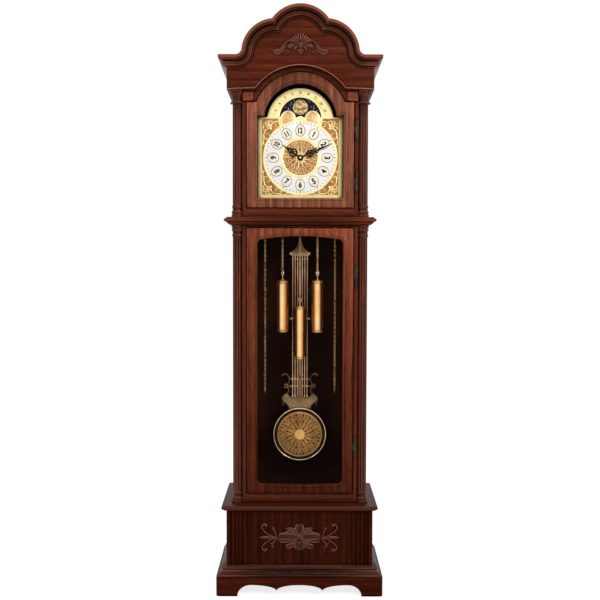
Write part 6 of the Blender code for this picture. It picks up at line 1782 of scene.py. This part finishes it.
def linkRings():
    rings = []
    bend = chain["width"] / 2 - chain["wire"]
    straight = chain["length"] / 2 - chain["wire"] - bend
    half = chain["around"] // 2
    for k in range(chain["around"]):
        end = 1 if k < half else -1
        a = pi * (k % half) / (half - 1) + (0 if end > 0 else pi)
        outward = Vector((cos(a), 0, sin(a)))
        at = outward * bend + Vector((0, 0, end * straight))
        rings.append([at + (outward * cos(t) + Vector((0, 1, 0)) * sin(t)) * chain["wire"]
                      for t in (tau * s / chain["sides"] for s in range(chain["sides"]))])
    return rings


def linksAlong(places):
    # places: where each link lies, the way it runs, and whether it is turned
    rings = linkRings()
    count, sides = len(rings), chain["sides"]
    points, faces = [], []
    for at, run, isTurned in places:
        side = Vector((0, 1, 0)) if isTurned else Vector((0, 1, 0)).cross(run).normalized()
        other = run.cross(side)
        first = len(points)
        for ring in rings:
            points += [at + side * p.x + other * p.y + run * p.z for p in ring]
        for i in range(count):
            for s in range(sides):
                a, b = first + i * sides + s, first + i * sides + (s + 1) % sides
                c, d = first + (i + 1) % count * sides + (s + 1) % sides, first + (i + 1) % count * sides + s
                faces.append((a, b, c, d))
    return points, faces


def linkMesh(points, faces):
    mesh = bpy.data.meshes.new("links")
    mesh.from_pydata([tuple(p) for p in points], [], faces)
    bm = bmesh.new()
    bm.from_mesh(mesh)
    return meshFrom(bm, "links")


def hanging(px, py, high, low, turn):
    count = round((high - low) / chain["pitch"])
    step = (high - low) / count
    down = Vector((0, 0, -1))
    return [(Vector((px, py, high - step * (k + 0.5))), down, (k + turn) % 2 == 1) for k in range(count)]


def restLevel(level, drop, low):
    # the level at rest of a point that lies at `level` when the weight is all the way down
    high = chain["high"]
    if level >= high:
        return level
    if level <= low - drop:
        return level + drop
    a, b = low, high
    for _ in range(chain["halvings"]):
        middle = (a + b) / 2
        t = (high - middle) / (high - low)
        if middle - drop * t * t * (3 - 2 * t) > level:
            b = middle
        else:
            a = middle
    return (a + b) / 2


def makeChains(brass):
    for name, weightX, freeX, py, eye, foot, drop, low in chainTable:
        high, r = chain["high"], chain["wheel"]
        points, faces = linksAlong(hanging(weightX, py, high, eye - drop, 0))
        points = [Vector((p.x, p.y, restLevel(p.z, drop, low))) for p in points]
        strand = placed(name + "ChainWeightSide", linkMesh(points, faces), brass, None, smooth=60)
        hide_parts("chain_" + name)
        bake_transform(strand)
        middle = (weightX + freeX) / 2
        side = 1 if weightX > middle else -1
        count = round(pi * r / chain["pitch"])
        places = []
        for k in range(count):
            a = pi * (k + 0.5) / count
            places.append((Vector((middle + side * r * cos(a), py, high + r * sin(a))),
                           Vector((-side * sin(a), 0, cos(a))), k % 2 == 1))
        points, faces = linksAlong(places)
        placed(name + "ChainOverWheel", linkMesh(points, faces), brass, "case", smooth=60)
        points, faces = linksAlong(hanging(freeX, py, high, foot, count))
        free = placed(name + "ChainFreeSide", linkMesh(points, faces), brass, "case", smooth=60)
        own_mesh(free)
    print("chains ready")


def makeWorks(brass, steel):
    for name in ("movement_front_plate", "movement_back_plate", "centre_wheel", "great_wheel", "third_wheel",
                 "escape_wheel", "minute_wheel", "chain_wheel_left", "chain_wheel_right"):
        nodes[name].data.materials[0] = brass
    nodes["anchor"].data.materials[0] = steel
    print("works ready")


makeStudio()
makeCase()
carved = makeWood("carvedWood", "carved", "X", roughness=0.24, wornAndHighlit=0.85, ridge=(0.515, 0.58))
makeBaseCarving(carved)
makePedimentCarving(carved)
makeHinges(makeMetal("hingeBrass"))
dialGold, ornamentGold = makeMetal("dialGold"), makeMetal("ornamentGold")
ivory = makeEnamel("ivoryEnamel", (0.96, 0.93, 0.93), (0.9, 0.86, 0.85), 0.3)
shieldCream = makeEnamel("shieldCream", (0.97, 0.93, 0.78), (0.92, 0.86, 0.66), 0.3)
ink = makeEnamel("darkInk", (0.02, 0.008, 0.028), (0.008, 0.004, 0.012), 0.5, 0.05)
markBlue = makeEnamel("markBlue", (0.035, 0.025, 0.12), (0.015, 0.01, 0.06), 0.45, 0.08)
engraved = makeEnamel("engravedBrown", (0.14, 0.06, 0.015), (0.07, 0.028, 0.008), 0.5, 0.08)
makeDial(dialGold, ornamentGold, makeMetal("mattedGold"), ivory, ink, makeMetal("peachGold"),
         makeMetal("globeGold"), engraved, markBlue, makeMetal("ovalGold"), shieldCream)
makeMoon(makeEnamel("nightSky", (0.007, 0.007, 0.026), (0.003, 0.003, 0.01), 0.4, 0.08), dialGold,
         makeEnamel("paleStar", (0.45, 0.55, 0.85), (0.3, 0.38, 0.66), 0.4),
         makeEnamel("moonCream", (0.82, 0.6, 0.26), (0.24, 0.13, 0.055), 0.4, 0.2, 120.0, (0.42, 0.56)),
         makeEnamel("moonShade", (0.62, 0.42, 0.17), (0.4, 0.24, 0.09), 0.5, 0.2))
makeHands(makeEnamel("blackLacquer", (0.006, 0.005, 0.005), (0.002, 0.002, 0.002), 0.3, 0.15), dialGold)
oldGold, rodGold = makeMetal("oldGold"), makeMetal("rodGold")
makePendulum(oldGold, makeMetal("lyreGold"), rodGold, makeWood("staffWood", "staff", "Z", wornAndHighlit=0.55),
             dialGold)
makeBob(makeMetal("rimSilver"), makeMetal("bobShadow"), makeMetal("bobGold"), makeMetal("bobPlain"))
# painted shade on the weights' shells, darker towards their left and right sides
brassPolished = makeMetal("brassPolished", shadeAcross=[
    (0.0, (0.5, 0.26, 0.13)), (0.26, (0.66, 0.4, 0.23)), (0.4, (1.0, 1.0, 1.0)),
    (0.54, (1.0, 0.98, 0.95)), (0.66, (0.76, 0.5, 0.32)), (1.0, (0.5, 0.26, 0.13))])
makeWeights(brassPolished, makeMetal("brassCaps"), makeMetal("hookBrass"))
makeChains(makeMetal("brassChain"))
makeWorks(makeMetal("brassWorks"), makeMetal("steelGrey"))
